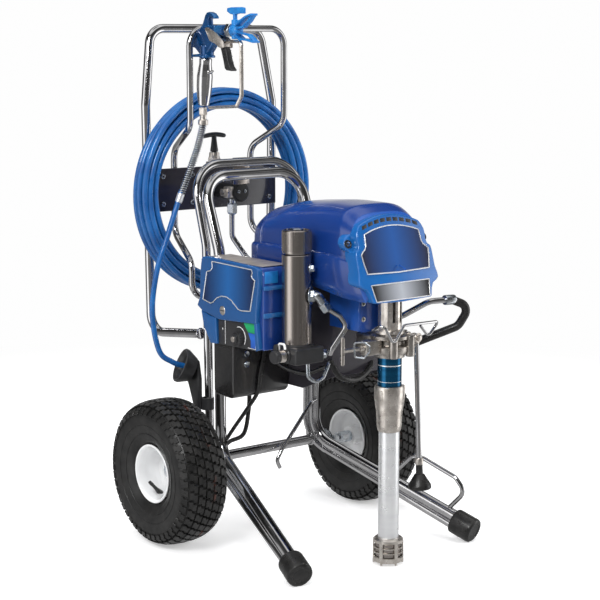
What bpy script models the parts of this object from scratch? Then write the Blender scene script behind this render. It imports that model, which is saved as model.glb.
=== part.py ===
"""Airless paint sprayer on a two-wheeled cart, built from separate pieces.

Metres, +Z up. -Y is the pump end (front) and +X is the right-hand side seen
from the front. Coordinates are measured from the floor point under the wheel
centres; the finished part's origin is the middle of its footprint.
Run it with: blender --background --python part.py
"""
from math import cos, pi, radians, sin, tan

import bmesh
import bpy
from mathutils import Matrix, Vector

GAP = 0.0003                 # clearance between neighbouring pieces
FOOTPRINT_Y = -0.0940        # middle of the footprint, from the wheel centres

# Cart
WHEEL_RADIUS = 0.140
TYRE_HALF = 0.050            # half of the tyre's width
WHEEL_X = 0.2415             # wheel centre planes, either side
RIM_RADIUS = 0.0520          # bead seat
FLANGE_RADIUS = 0.0570       # rim flange
HUB_INNER = -0.033           # hub ends, measured outward from the wheel centre plane
HUB_OUTER = -0.002
HUB_BORE = 0.0084
AXLE_RADIUS = 0.0080
HOOP_RADIUS = 0.0110         # main hoop tube
BACK_HOOP_RADIUS = 0.0085    # slimmer hoop behind it
HANDLE_RADIUS = 0.0090
CAP_RADIUS = 0.0245
CAP_BORE = 0.0203
KNEE = Vector((0.118, 0.0, 0.156))
TOE = Vector((0.2120, -0.3660, 0.0314))
LEG_SPACING = 0.0205         # between the two tubes of a leg
LEG_DIR = (TOE - KNEE).normalized()
LEG_DOWN = (Vector((0, 0, -1)) + LEG_DIR * LEG_DIR.z).normalized()

# Hose reel
REEL_Z = 0.652
REEL_TUBE = 0.0065
REEL_FRONT_Y = 0.0975
REEL_BACK_Y = 0.185
REEL_SIDE = 0.115
REEL_WAIST = 0.095
COIL_RADIUS = 0.1875         # middle of the coil's cross-section
COIL_Y = 0.147

# Drive and pump
MOTOR_Z = 0.565
CRANK_Z = 0.520
PUMP_Y = -0.360
CRANK_THROW = 0.0125
GEAR_MODULE = 0.0018
PINION_TEETH = 10
GEAR_TEETH = 40

# Motor cover
COVER_FRONT_Y = -0.390       # at the lower edge of the front face
COVER_FRONT_Z = 0.505
COVER_LEAN = 0.30            # how far the front face leans back per metre of height
COVER_WALL = 0.003

# Control box and filter
BOX_X = -0.176
FILTER_X = -0.124
FILTER_Y = -0.246

# Spray gun
GUN_X = -0.092
GUN_HALF = 0.009
BARREL_Z = 0.970
TRIGGER_PIN = (GUN_X, 0.0450, 0.9620)


# ---------------------------------------------------------------- scene tools

def clear_scene():
    """Remove every object of the open scene."""
    for obj in list(bpy.data.objects):
        bpy.data.objects.remove(obj, do_unlink=True)


clear_scene()
PARTS = bpy.data.collections.new("airless_paint_sprayer")
TOOLS = bpy.data.collections.new("cutters")
bpy.context.scene.collection.children.link(PARTS)
bpy.context.scene.collection.children.link(TOOLS)


def material(name, colour, roughness, metallic=0.0):
    """A plain Principled material."""
    mat = bpy.data.materials.new(name)
    mat.use_nodes = True
    shader = mat.node_tree.nodes["Principled BSDF"]
    shader.inputs["Base Color"].default_value = (*colour, 1.0)
    shader.inputs["Roughness"].default_value = roughness
    shader.inputs["Metallic"].default_value = metallic
    mat.diffuse_color = (*colour, 1.0)
    return mat


CHROME = material("chrome", (0.72, 0.72, 0.74), 0.08, 1.0)
NICKEL = material("nickel", (0.62, 0.59, 0.54), 0.28, 1.0)
STEEL = material("brushed steel", (0.50, 0.47, 0.44), 0.30, 1.0)
ALUMINIUM = material("aluminium", (0.78, 0.79, 0.80), 0.35, 1.0)
BLUE = material("blue enamel", (0.010, 0.075, 0.400), 0.22)
LIGHT_BLUE = material("light blue plastic", (0.020, 0.240, 0.660), 0.35)
HOSE_BLUE = material("blue hose", (0.010, 0.110, 0.480), 0.38)
WHITE = material("white enamel", (0.85, 0.85, 0.86), 0.30)
TYRE = material("tyre rubber", (0.014, 0.014, 0.015), 0.75)
RUBBER = material("black rubber", (0.018, 0.018, 0.019), 0.60)
BLACK = material("black plastic", (0.015, 0.015, 0.016), 0.40)
DARK_PAINT = material("dark enamel", (0.020, 0.022, 0.040), 0.15)
COPPER = material("wound steel", (0.33, 0.20, 0.13), 0.45, 1.0)


def place(obj, mat, location=(0, 0, 0), axis="Z"):
    """Link an object to the part, give it its material, place and direction."""
    obj.data.materials.append(mat)
    obj.location = location
    if axis == "X":
        obj.rotation_euler = (0, pi / 2, 0)
    elif axis == "Y":
        obj.rotation_euler = (-pi / 2, 0, 0)
    elif isinstance(axis, Vector):
        obj.rotation_euler = axis.to_track_quat("Z", "Y").to_euler()
    PARTS.objects.link(obj)
    return obj


def mesh_object(name, bm):
    """Turn a finished bmesh into an object."""
    mesh = bpy.data.meshes.new(name)
    bmesh.ops.recalc_face_normals(bm, faces=bm.faces)
    bm.to_mesh(mesh)
    bm.free()
    return bpy.data.objects.new(name, mesh)


def box_mesh(size, centre):
    """A box as a bmesh, its corners about the object's own origin."""
    bm = bmesh.new()
    bmesh.ops.create_cube(bm, size=1.0)
    bmesh.ops.scale(bm, vec=size, verts=bm.verts)
    bmesh.ops.translate(bm, vec=centre, verts=bm.verts)
    return bm


def bevel(obj, width, segments=2):
    """Round an object's sharp edges."""
    mod = obj.modifiers.new("rounded edges", "BEVEL")
    mod.width = width
    mod.segments = segments
    mod.limit_method = "ANGLE"
    return obj


def box(name, low, high, mat, rounding=0.0, pivot=None):
    """A box between two corners; its origin is its centre or the given pivot."""
    low = Vector(low)
    high = Vector(high)
    centre = (low + high) / 2
    origin = Vector(pivot) if pivot else centre
    obj = place(mesh_object(name, box_mesh(high - low, centre - origin)), mat, origin)
    if rounding:
        bevel(obj, rounding)
    return obj


def lathe(name, profile, steps, ring):
    """A profile of (radius, height) points turned about Z with a Screw modifier."""
    mesh = bpy.data.meshes.new(name)
    count = len(profile)
    edges = [(i, i + 1) for i in range(count - 1)]
    if ring:
        edges.append((count - 1, 0))
    mesh.from_pydata([(r, 0.0, z) for r, z in profile], edges, [])
    obj = bpy.data.objects.new(name, mesh)
    screw = obj.modifiers.new("turn", "SCREW")
    screw.steps = steps
    screw.render_steps = steps
    screw.use_merge_vertices = True
    screw.merge_threshold = 0.00005
    screw.use_smooth_shade = False
    return obj


def turned(name, profile, mat, location, axis="Z", steps=20, ring=False):
    """A turned solid; the profile runs down its outer side, top to bottom."""
    return place(lathe(name, profile, steps, ring), mat, location, axis)


def rod_profile(radius, low, high):
    """The profile of a plain cylinder."""
    return [(0, high), (radius, high), (radius, low), (0, low)]


def filleted(corners, radius, steps=4):
    """Replace each inner corner of a path by an arc of the given radius."""
    corners = [Vector(c) for c in corners]
    path = [corners[0]]
    for before, corner, after in zip(corners, corners[1:], corners[2:]):
        into = (corner - before).normalized()
        out = (after - corner).normalized()
        turn = into.angle(out)
        reach = min(radius * tan(turn / 2), (corner - before).length * 0.49,
                    (after - corner).length * 0.49)
        arc = reach / tan(turn / 2)
        side = (out - into).normalized()
        centre = corner + side * (arc / cos(turn / 2))
        normal = into.cross(out).normalized()
        start = corner - into * reach - centre
        for step in range(steps + 1):
            path.append(centre + Matrix.Rotation(turn * step / steps, 3, normal) @ start)
    path.append(corners[-1])
    return path


def mirrored(half):
    """The corners of one side, completed with their mirror images in X."""
    half = [Vector(c) for c in half]
    return half + [Vector((-c.x, c.y, c.z)) for c in reversed(half)]


def curve(name, path, radius, closed=False, sides=2):
    """A round wire or tube along a path, as a curve object."""
    data = bpy.data.curves.new(name, "CURVE")
    data.dimensions = "3D"
    data.bevel_depth = radius
    data.bevel_resolution = sides
    data.use_fill_caps = True
    spline = data.splines.new("POLY")
    spline.points.add(len(path) - 1)
    for point, place_at in zip(spline.points, path):
        point.co = (*place_at, 1.0)
    spline.use_cyclic_u = closed
    return bpy.data.objects.new(name, data)


def tube(name, path, radius, mat, pivot=(0, 0, 0), closed=False, sides=2):
    """A tube along world points, with its origin at the pivot."""
    origin = Vector(pivot)
    points = [Vector(p) - origin for p in path]
    return place(curve(name, points, radius, closed, sides), mat, origin)


def flat_shape(name, outline, low, high, mat, axis="X", pivot=(0, 0, 0)):
    """An outline of (first, second) points extruded between two planes.

    For axis X the outline is in Y and Z; for axis Y it is in X and Z.
    """
    bm = bmesh.new()
    origin = Vector(pivot)
    if axis == "X":
        points = [Vector((low, a, b)) for a, b in outline]
        push = Vector((high - low, 0, 0))
    else:
        points = [Vector((a, low, b)) for a, b in outline]
        push = Vector((0, high - low, 0))
    face = bm.faces.new([bm.verts.new(p - origin) for p in points])
    made = bmesh.ops.extrude_face_region(bm, geom=[face])
    moved = [v for v in made["geom"] if isinstance(v, bmesh.types.BMVert)]
    bmesh.ops.translate(bm, vec=push, verts=moved)
    return place(mesh_object(name, bm), mat, origin)


def as_tool(obj):
    """Move an object to the hidden collection of Boolean tools."""
    for owner in list(obj.users_collection):
        owner.objects.unlink(obj)
    TOOLS.objects.link(obj)
    obj.hide_render = True
    obj.display_type = "WIRE"
    return obj


def combine(obj, tool, operation="DIFFERENCE"):
    """Add or remove a tool's volume."""
    mod = obj.modifiers.new(operation.lower(), "BOOLEAN")
    mod.operation = operation
    mod.solver = "EXACT"
    mod.object = as_tool(tool)
    return obj


def join(obj, *tools):
    """Unite tools with an object."""
    for tool in tools:
        combine(obj, tool, "UNION")
    return obj


def cut(obj, *tools):
    """Cut tools out of an object."""
    for tool in tools:
        combine(obj, tool)
    return obj


def cylinder(name, radius, low, high, centre, axis, steps=16):
    """A plain cylinder between two heights along an axis through a centre."""
    return turned(name, rod_profile(radius, low, high), STEEL, centre, axis, steps)


def left_and_right(maker):
    """Call a maker once for each side of the cart."""
    maker("left", -1)
    maker("right", 1)


# ----------------------------------------------------------------------- cart

def front_hoop():
    """Main tube: leg, post, leaning upper part and arch, then down again."""
    half = [TOE, KNEE, (0.118, 0.0, 0.550), (0.118, 0.055, 0.6915)]
    tube("front_hoop", filleted(mirrored(half), 0.055, 3), HOOP_RADIUS, CHROME)


def rear_hoop():
    """Slimmer tube behind the main hoop; in each leg it lies under it."""
    toe = TOE + LEG_DOWN * LEG_SPACING
    half = [toe, (0.122, 0.031, 0.1444), (0.127, 0.031, 0.560), (0.127, 0.0775, 0.713)]
    tube("rear_hoop", filleted(mirrored(half), 0.065, 3), BACK_HOOP_RADIUS, CHROME)


def crossbar():
    """Tube that joins the two knees."""
    end = KNEE.x - HOOP_RADIUS - GAP
    tube("crossbar", [(-end, 0, 0.148), (end, 0, 0.148)], 0.010, CHROME, sides=3)


def cart_handle():
    """Tall rear loop whose lower ends meet the rear posts."""
    half = [(0.1340, 0.0402, 0.388), (0.150, 0.192, 0.372), (0.156, 0.192, 0.825),
            (0.134, 0.205, 0.974)]
    tube("cart_handle", filleted(mirrored(half), 0.034, 3), HANDLE_RADIUS, CHROME)


def foot_caps():
    """Rubber caps over both tubes of each leg, with a flat sole on the floor."""
    floor = 0.006
    length = 0.046

    def cap(side, sign):
        end = TOE + LEG_DOWN * 0.009 + LEG_DIR * (floor + GAP)
        direction = Vector((LEG_DIR.x * sign, LEG_DIR.y, LEG_DIR.z))
        profile = [(0, 0), (CAP_RADIUS - 0.002, 0), (CAP_RADIUS, -0.002),
                   (CAP_RADIUS, -length), (CAP_BORE, -length), (CAP_BORE, -floor), (0, -floor)]
        foot = turned("foot_cap_" + side, profile, RUBBER, (end.x * sign, end.y, end.z), direction)
        below = box("sole_" + side, (end.x * sign - 0.05, end.y - 0.05, -0.02),
                    (end.x * sign + 0.05, end.y + 0.05, 0.0), RUBBER)
        cut(foot, below)

    left_and_right(cap)


def wheels():
    """Steel rims, tyres and stub axles."""
    rim = [(FLANGE_RADIUS, 0.0375), (FLANGE_RADIUS, 0.0350), (RIM_RADIUS, 0.0350),
           (RIM_RADIUS, -0.0350), (FLANGE_RADIUS, -0.0350), (FLANGE_RADIUS, -0.0375),
           (0.0490, -0.0375), (0.0490, -0.0180), (0.0190, -0.0150), (0.0190, HUB_INNER),
           (HUB_BORE, HUB_INNER), (HUB_BORE, HUB_OUTER), (0.0190, HUB_OUTER), (0.0190, -0.0110),
           (0.0490, -0.0130), (0.0490, 0.0375)]
    outer = [(RIM_RADIUS + GAP, 0.0300), (0.0640, 0.0400), (0.0850, 0.0480), (0.1100, TYRE_HALF),
             (0.1260, 0.0465), (0.1360, 0.0380), (0.1394, 0.0250), (WHEEL_RADIUS, 0.0)]
    tyre = outer + [(r, -x) for r, x in reversed(outer[:-1])]

    def wheel(side, sign):
        centre = (WHEEL_X * sign, 0, WHEEL_RADIUS)
        outward = Vector((sign, 0, 0))
        turned("rim_" + side, rim, WHITE, centre, outward, 24, ring=True)
        turned("tyre_" + side, tyre, TYRE, centre, outward, 24, ring=True)
        flange = 0.1432 - WHEEL_X
        inner, outer = HUB_INNER - GAP, HUB_OUTER + GAP
        axle = [(0, 0.0050), (AXLE_RADIUS, 0.0050), (0.0125, 0.0042), (0.0125, outer),
                (AXLE_RADIUS, outer), (AXLE_RADIUS, inner), (0.0120, inner),
                (0.0120, flange + 0.004), (0.0260, flange + 0.004), (0.0260, flange), (0, flange)]
        turned("axle_" + side, axle, NICKEL, centre, outward, 16)

    left_and_right(wheel)


def leg_point(y, above):
    """A point over the right leg's upper tube."""
    along = (y - KNEE.y) / LEG_DIR.y
    point = KNEE + LEG_DIR * along
    return Vector((point.x, y, point.z + above))


def leg_bail():
    """Bent rod that stands on the right leg."""
    foot = (HOOP_RADIUS + 0.0030) / cos(pi / 2 - LEG_DIR.angle(Vector((0, 0, -1))))
    corners = [leg_point(-0.186, foot), leg_point(-0.232, 0.074), leg_point(-0.256, 0.078),
               leg_point(-0.326, 0.076), leg_point(-0.348, 0.058), leg_point(-0.316, foot)]
    tube("leg_bail", filleted(corners, 0.014, 3), 0.0045, CHROME)


def brace_rod():
    """Thin rod from the right post over the crossbar, with a hooked end."""
    corners = [(0.1065, -0.0160, 0.232), (0.092, -0.0200, 0.230), (0.016, -0.0200, 0.143),
               (0.004, -0.0200, 0.124), (0.012, -0.0200, 0.108)]
    tube("brace_rod", filleted(corners, 0.010, 2), 0.0040, CHROME)


def hose_guide():
    """Black funnel on an arm beside the left post; the hose runs through it."""
    ring = turned("hose_guide", [(0.0340, 0.0100), (0.0340, 0.0040), (0.0240, -0.0160),
                                 (0.0200, -0.0160), (0.0200, -0.0080), (0.0300, 0.0100)],
                  BLACK, (-0.158, 0.062, 0.322), Vector((-0.85, 0.35, 0.40)), 20, ring=True)
    arm = flat_shape("hose_guide_arm", [(0.0400, 0.238), (0.0600, 0.238), (0.0860, 0.300),
                                        (0.0780, 0.322), (0.0560, 0.318), (0.0400, 0.262)],
                     -0.1440, -0.1370, BLACK)
    return join(ring, arm)


# ------------------------------------------------------------------ hose reel

def reel_hub():
    """Fixed swivel the reel turns on, held by a strap under the arch."""
    y = 0.0866
    hub = turned("reel_hub", [(0, y), (0.0185, y), (0.0195, y + 0.001), (0.0195, y + 0.016),
                              (0.0150, y + 0.016), (0.0150, 0.1660), (0.0080, 0.1660),
                              (0.0080, 0.1900), (0, 0.1900)],
                 STEEL, (0, 0, REEL_Z), "Y")
    strap = box("reel_strap", (-0.020, 0.0866, 0.6650), (0.020, 0.0916, 0.722), STEEL)
    block = box("reel_block", (-0.031, 0.0916, 0.6420), (-0.012, 0.1100, 0.6640), STEEL)
    return join(hub, strap, block)


def feed_pipe():
    """Elbow, nut and steel pipe that feed the reel's swivel."""
    top = REEL_Z - 0.0155
    pipe = turned("feed_pipe", [(0, top), (0.0065, top), (0.0065, top - 0.010),
                                (0.0095, top - 0.010), (0.0095, top - 0.028),
                                (0.0070, top - 0.030), (0.0070, top - 0.036), (0, top - 0.036)],
                  CHROME, (0, 0.120, 0), "Z", 12)
    run = filleted([(0, 0.120, top - 0.030), (0, 0.120, 0.560), (0.020, 0.095, 0.515),
                    (0.030, 0.020, 0.500), (0.030, -0.006, 0.470)], 0.020, 3)
    wire = curve("feed_run", run, 0.0050)
    return join(pipe, mesh_from_curve(wire))


def mesh_from_curve(obj):
    """A curve object as a clean mesh object, so that it can join a Boolean."""
    TOOLS.objects.link(obj)
    bpy.context.view_layer.update()
    graph = bpy.context.evaluated_depsgraph_get()
    mesh = bpy.data.meshes.new_from_object(obj.evaluated_get(graph))
    bm = bmesh.new()
    bm.from_mesh(mesh)
    bmesh.ops.remove_doubles(bm, verts=bm.verts, dist=1e-6)
    bmesh.ops.recalc_face_normals(bm, faces=bm.faces)
    bm.to_mesh(mesh)
    bm.free()
    name = obj.name
    bpy.data.objects.remove(obj, do_unlink=True)
    made = bpy.data.objects.new(name + "_mesh", mesh)
    TOOLS.objects.link(made)
    return made


def reel_frame():
    """The loop the hose is wound on; its tall upper end is the winding handle."""
    upper = 0.322
    lower = -0.205
    shoulder = 0.133
    waist = 0.083
    half = [(REEL_SIDE, REEL_FRONT_Y, upper), (REEL_SIDE, REEL_FRONT_Y, shoulder),
            (REEL_WAIST, REEL_BACK_Y, waist), (REEL_WAIST, REEL_BACK_Y, -waist),
            (REEL_SIDE, REEL_FRONT_Y, -shoulder), (REEL_SIDE, REEL_FRONT_Y, lower)]
    top = Vector((0, REEL_FRONT_Y, upper))
    corners = [top, *mirrored(half), top]
    path = filleted(corners, 0.034, 3)[:-1]
    axis = Vector((0, 0, REEL_Z))
    tube("reel_frame", [axis + p for p in path], REEL_TUBE, CHROME, axis, closed=True)


def reel_plate():
    """Cross plate between the loop's sides, with the lock's sleeve on top."""
    axis = (0, 0, REEL_Z)
    plate = box("reel_plate", (-0.150, 0.1700, 0.6150), (0.150, 0.1764, 0.7000), DARK_PAINT,
                pivot=axis)
    ears = box("reel_ears", (-0.014, 0.1700, 0.6950), (0.014, 0.1900, 0.7080), DARK_PAINT)
    sleeve = turned("lock_sleeve", rod_profile(0.0105, 0.7040, 0.7270), NICKEL, (0, 0.180, 0))
    join(plate, ears, sleeve)
    bore = cylinder("reel_bore", 0.0083, 0.160, 0.185, (0, 0, REEL_Z), "Y", 20)
    lock_bore = cylinder("lock_bore", 0.0055, 0.690, 0.730, (0, 0.180, 0), "Z", 12)
    return cut(plate, bore, lock_bore)


def lock_plunger():
    """Spring-loaded T-handle that locks the reel; it lifts by a few millimetres."""
    origin = (0, 0.180, 0.7275)
    stem = turned("lock_plunger", [(0, 0.030), (0.0060, 0.030), (0.0080, 0.0004),
                                   (0.0050, 0.0004), (0.0050, -0.026), (0, -0.029)],
                  BLACK, origin, "Z", 12)
    bar = box("lock_bar", (-0.028, 0.1745, 0.7560), (0.028, 0.1855, 0.7650), BLACK)
    return join(stem, bar)


def hose_coil():
    """The wound hose as one ring; its strands are a surface matter."""
    half_width = 0.0195
    half_depth = 0.0205
    count = 10
    profile = []
    for step in range(count):
        angle = pi / 2 - 2 * pi * step / count
        profile.append((COIL_RADIUS + half_width * cos(angle), half_depth * sin(angle)))
    turned("hose_coil", profile, HOSE_BLUE, (0, COIL_Y, REEL_Z), "Y", 32, ring=True)


# ------------------------------------------------------------------ spray gun

def gun_body():
    """Cast body with the hook that hangs on the reel's top bar."""
    bar_z = REEL_Z + 0.322
    under = bar_z - REEL_TUBE - 0.0110
    over = bar_z + REEL_TUBE + 0.0010
    front = REEL_FRONT_Y - REEL_TUBE - 0.0010
    back = REEL_FRONT_Y + REEL_TUBE + 0.0010
    deck = BARREL_Z + 0.0095
    outline = [(0.1300, 0.9560), (0.1225, 0.9190), (0.0420, 0.9190), (0.0380, 0.9330),
               (0.0340, 0.9605), (0.0020, 0.9605), (0.0020, deck), (front, deck),
               (front, under), (back, under), (back, over), (0.0700, over + 0.007),
               (0.0640, over + 0.005), (0.0610, over + 0.012), (0.0760, over + 0.023),
               (0.1000, over + 0.021), (0.1230, deck - 0.003)]
    return flat_shape("gun_body", outline, GUN_X - GUN_HALF, GUN_X + GUN_HALF, BLUE)


def gun_handle():
    """Hollow handle that holds the gun's own filter."""
    lean = Vector((0, 0.10, -1.0)).normalized()
    turned("gun_handle", [(0, 0), (0.0125, 0), (0.0155, 0.030), (0.0145, 0.070),
                          (0.0100, 0.0930), (0, 0.0930)][::-1],
           CHROME, (GUN_X, 0.0780, 0.9172), lean, 16)


def gun_trigger():
    """Trigger blade with its side plates; it swings on a pin through the body."""
    outline = [(0.0230, 0.9480), (0.0040, 0.9480), (-0.0050, 0.9200), (-0.0210, 0.8940),
               (0.0000, 0.8930), (0.0150, 0.9000), (0.0210, 0.9200)]
    blade = flat_shape("gun_trigger", outline, GUN_X - 0.0085, GUN_X + 0.0085, BLACK, "X",
                       TRIGGER_PIN)
    plate = [(0.0640, 0.9730), (0.0500, 0.9740), (0.0040, 0.9500), (0.0020, 0.9380),
             (0.0180, 0.9360), (0.0480, 0.9500)]
    inner = GUN_HALF + 0.0006
    outer = inner + 0.0020
    right = flat_shape("plate_right", plate, GUN_X + inner, GUN_X + outer, STEEL)
    left = flat_shape("plate_left", plate, GUN_X - outer, GUN_X - inner, STEEL)
    bridge = box("plate_bridge", (GUN_X - outer + 0.0005, 0.0060, 0.9380),
                 (GUN_X + outer - 0.0005, 0.0160, 0.9460), STEEL)
    return join(blade, bridge, right, left)


def trigger_guard():
    """Flat bar in front of the trigger, from the nose to the handle's foot."""
    outline = [(0.0335, 0.9480), (-0.0370, 0.9480), (-0.0370, 0.8500), (-0.0220, 0.8300),
               (0.0660, 0.8240), (0.0660, 0.8210), (-0.0240, 0.8260), (-0.0405, 0.8480),
               (-0.0405, 0.9510), (0.0335, 0.9510)]
    flat_shape("trigger_guard", outline[::-1], GUN_X - 0.0050, GUN_X + 0.0050, STEEL)


def tip_guard():
    """Nut and two-winged guard round the spray tip."""
    z = BARREL_Z
    body = turned("tip_guard", [(0, 0.0360), (0.0110, 0.0360), (0.0165, 0.0300),
                                (0.0165, 0.0120), (0.0150, 0.0080), (0.0150, -0.0015),
                                (0, -0.0015)],
                  LIGHT_BLUE, (GUN_X, 0, z), Vector((0, -1, 0)), 16)
    upper = flat_shape("wing_upper", [(-0.0300, z + 0.0080), (-0.0330, z + 0.0160),
                                      (-0.0780, z + 0.0300), (-0.0780, z + 0.0260),
                                      (-0.0350, z + 0.0060)],
                       GUN_X - 0.0110, GUN_X + 0.0110, LIGHT_BLUE)
    lower = flat_shape("wing_lower", [(-0.0300, z - 0.0080), (-0.0350, z - 0.0060),
                                      (-0.0860, z - 0.0190), (-0.0860, z - 0.0230),
                                      (-0.0330, z - 0.0160)],
                       GUN_X - 0.0110, GUN_X + 0.0110, LIGHT_BLUE)
    join(body, upper, lower)
    return cut(body, cylinder("tip_seat", 0.0075, -0.030, 0.030, (GUN_X, -0.0200, z), "Z", 12))


def spray_tip():
    """Reversible tip with its flag-shaped handle."""
    pivot = (GUN_X, -0.0200, BARREL_Z)
    stem = turned("spray_tip", [(0, 0.0320), (0.0040, 0.0320), (0.0040, 0.0190), (0.0072, 0.0190),
                                (0.0072, -0.0150), (0, -0.0150)], LIGHT_BLUE, pivot, "Z", 12)
    flag = box("tip_flag", (GUN_X - 0.0030, -0.0500, 1.0000),
               (GUN_X + 0.0030, 0.0030, 1.0130), LIGHT_BLUE)
    return join(stem, flag)


def gun_hose():
    """Swivel, spring guard and the thin whip hose down to the hose guide."""
    foot = Vector((GUN_X, 0.0873, 0.8230))
    turned("hose_swivel", [(0, 0), (0.0085, 0), (0.0085, -0.014), (0.0065, -0.016),
                           (0.0065, -0.022), (0.0095, -0.024), (0.0095, -0.034), (0, -0.034)],
           NICKEL, foot - Vector((0, 0, GAP)), "Z", 12)
    start = foot - Vector((0, 0, 0.0370))
    end = Vector((-0.1370, 0.1000, 0.6560))
    tube("spring_guard", [start, start.lerp(end, 0.33) + Vector((0.004, 0, 0)),
                          start.lerp(end, 0.66) + Vector((0.003, 0, 0)), end], 0.0068, STEEL)
    corners = [end + Vector((-0.0004, 0, -0.0012)), (-0.169, 0.1000, 0.5780),
               (-0.195, 0.1000, 0.5120), (-0.209, 0.0980, 0.4300), (-0.203, 0.0850, 0.3560),
               (-0.180, 0.0710, 0.3320), (-0.162, 0.0636, 0.3239)]
    tube("whip_hose", filleted(corners, 0.060, 2), 0.0055, HOSE_BLUE)


# ------------------------------------------------------------ drive and motor

def drive_bracket():
    """Folded steel channel that carries the motor and the pump on the posts."""
    outline = [(-0.0125, 0.300), (-0.1550, 0.300), (-0.2440, 0.335), (-0.2440, 0.5095),
               (-0.0125, 0.5095)]
    bracket = flat_shape("drive_bracket", outline, -0.038, 0.098, DARK_PAINT)
    inside = [(-0.0160, 0.290), (-0.1540, 0.290), (-0.2400, 0.330), (-0.2400, 0.5055),
              (-0.0160, 0.5055)]
    return cut(bracket, flat_shape("bracket_inside", inside, -0.034, 0.094, DARK_PAINT))


def motor_case():
    """Steel motor body, open at the fan end."""
    turned("motor_case", [(0.0545, -0.0750), (0.0550, -0.0760), (0.0550, -0.2450),
                          (0.0063, -0.2450), (0.0063, -0.2390), (0.0485, -0.2390),
                          (0.0485, -0.0750)],
           STEEL, (0, 0, MOTOR_Z), "Y", 24, ring=True)


def gear_outline(teeth, module, shift):
    """Straight-sided tooth outline, four points a tooth."""
    pitch = teeth * module / 2
    root = pitch - 1.25 * module
    tip = pitch + 0.9 * module
    step = 2 * pi / teeth
    points = []
    for tooth in range(teeth):
        middle = (tooth + shift) * step
        for radius, part in ((root, -0.33), (tip, -0.11), (tip, 0.11), (root, 0.33)):
            angle = middle + part * step
            points.append((radius * cos(angle), radius * sin(angle)))
    return points


def armature():
    """Rotor, shaft, motor pinion and cooling fan, turning as one piece."""
    rotor = turned("armature", [(0, -0.0560), (0.0060, -0.0560), (0.0060, -0.0900),
                                (0.0400, -0.0900), (0.0400, -0.2250), (0.0060, -0.2250),
                                (0.0060, -0.2860), (0, -0.2860)],
                   COPPER, (0, 0, MOTOR_Z), "Y", 16)
    outline = [(x, MOTOR_Z + z) for x, z in gear_outline(PINION_TEETH, GEAR_MODULE, 0.0)]
    pinion = flat_shape("motor_pinion", outline, -0.2880, -0.2720, STEEL, "Y")
    fan = turned("fan_disc", [(0.0480, -0.0600), (0.0480, -0.0630), (0.0050, -0.0630),
                              (0.0050, -0.0600)], BLACK, (0, 0, MOTOR_Z), "Y", 16, ring=True)
    join(rotor, pinion, fan)
    for blade in range(6):
        vane = turned_vane(blade * pi / 3)
        join(rotor, vane)
    return rotor


def turned_vane(angle):
    """One straight blade of the cooling fan."""
    bm = box_mesh((0.034, 0.010, 0.0020), (0.029, 0, 0))
    bmesh.ops.rotate(bm, verts=bm.verts, cent=(0, 0, 0), matrix=Matrix.Rotation(angle, 3, "Y"))
    return place(mesh_object("fan_vane", bm), BLACK, (0, -0.0665, MOTOR_Z))


def crank_gear():
    """Large gear, crankshaft and crank disc with its short pin."""
    shaft = turned("crank_gear", [(0, -0.2640), (0.0079, -0.2640), (0.0079, -0.3410),
                                  (0.0200, -0.3410), (0.0200, -0.3480), (0, -0.3480)],
                   STEEL, (0, 0, CRANK_Z), "Y", 16)
    outline = [(x, CRANK_Z + z) for x, z in gear_outline(GEAR_TEETH, GEAR_MODULE, 0.0)]
    gear = flat_shape("gear_disc", outline, -0.2860, -0.2740, STEEL, "Y")
    pin = cylinder("crank_pin", 0.0045, -0.3530, -0.3460, (0, 0, CRANK_Z - CRANK_THROW), "Y", 10)
    return join(shaft, gear, pin)


def gear_housing():
    """Painted casting between the motor and the pump, open towards the motor."""
    outline = [(-0.2466, 0.434), (-0.3295, 0.434), (-0.3295, 0.545), (-0.3000, 0.545),
               (-0.3000, 0.592), (-0.2466, 0.592)]
    casting = flat_shape("gear_housing", outline, -0.047, 0.047, BLUE)
    cavity = box("gear_space", (-0.0405, -0.2930, 0.478), (0.0405, -0.2400, 0.585), BLUE)
    bore = cylinder("crank_bore", 0.0082, -0.335, -0.285, (0, 0, CRANK_Z), "Y", 20)
    return cut(casting, cavity, bore)


def drive_housing():
    """Plated housing round the connecting rod, with two inspection slots."""
    neck = turned("drive_housing", rod_profile(0.0215, 0.4300, 0.5060), NICKEL,
                  (0, PUMP_Y, 0), "Z", 20)
    head = box("drive_head", (-0.030, -0.3745, 0.4960), (0.030, -0.3300, 0.5440), NICKEL)
    join(neck, head)
    head_space = box("head_space", (-0.0235, -0.3705, 0.4995), (0.0235, -0.3335, 0.5500), NICKEL)
    bore = cylinder("neck_space", 0.0165, 0.4200, 0.5100, (0, PUMP_Y, 0), "Z", 20)
    crank_hole = cylinder("head_hole", 0.0090, -0.3400, -0.3250, (0, 0, CRANK_Z), "Y", 16)
    cut(neck, head_space, bore, crank_hole)
    for x in (-0.0075, 0.0075):
        cut(neck, box("slot", (x - 0.0025, -0.3900, 0.4520), (x + 0.0025, -0.3650, 0.4940), NICKEL))
    return neck


def piston_rod():
    """Connecting-rod eye, piston rod and piston; they move up and down together."""
    eye_z = CRANK_Z - CRANK_THROW
    rod = turned("piston_rod", [(0, eye_z - 0.004), (0.0060, eye_z - 0.004), (0.0060, 0.3620),
                                (0.0145, 0.3620), (0.0145, 0.3450), (0, 0.3450)],
                 CHROME, (0, PUMP_Y, 0), "Z", 16)
    eye = cylinder("rod_eye", 0.0115, -0.3660, -0.3540, (0, 0, eye_z), "Y", 16)
    hole = cylinder("rod_hole", 0.0055, -0.3700, -0.3500, (0, 0, eye_z), "Y", 12)
    return cut(join(rod, eye), hole)


# ----------------------------------------------------------------------- pump

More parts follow.
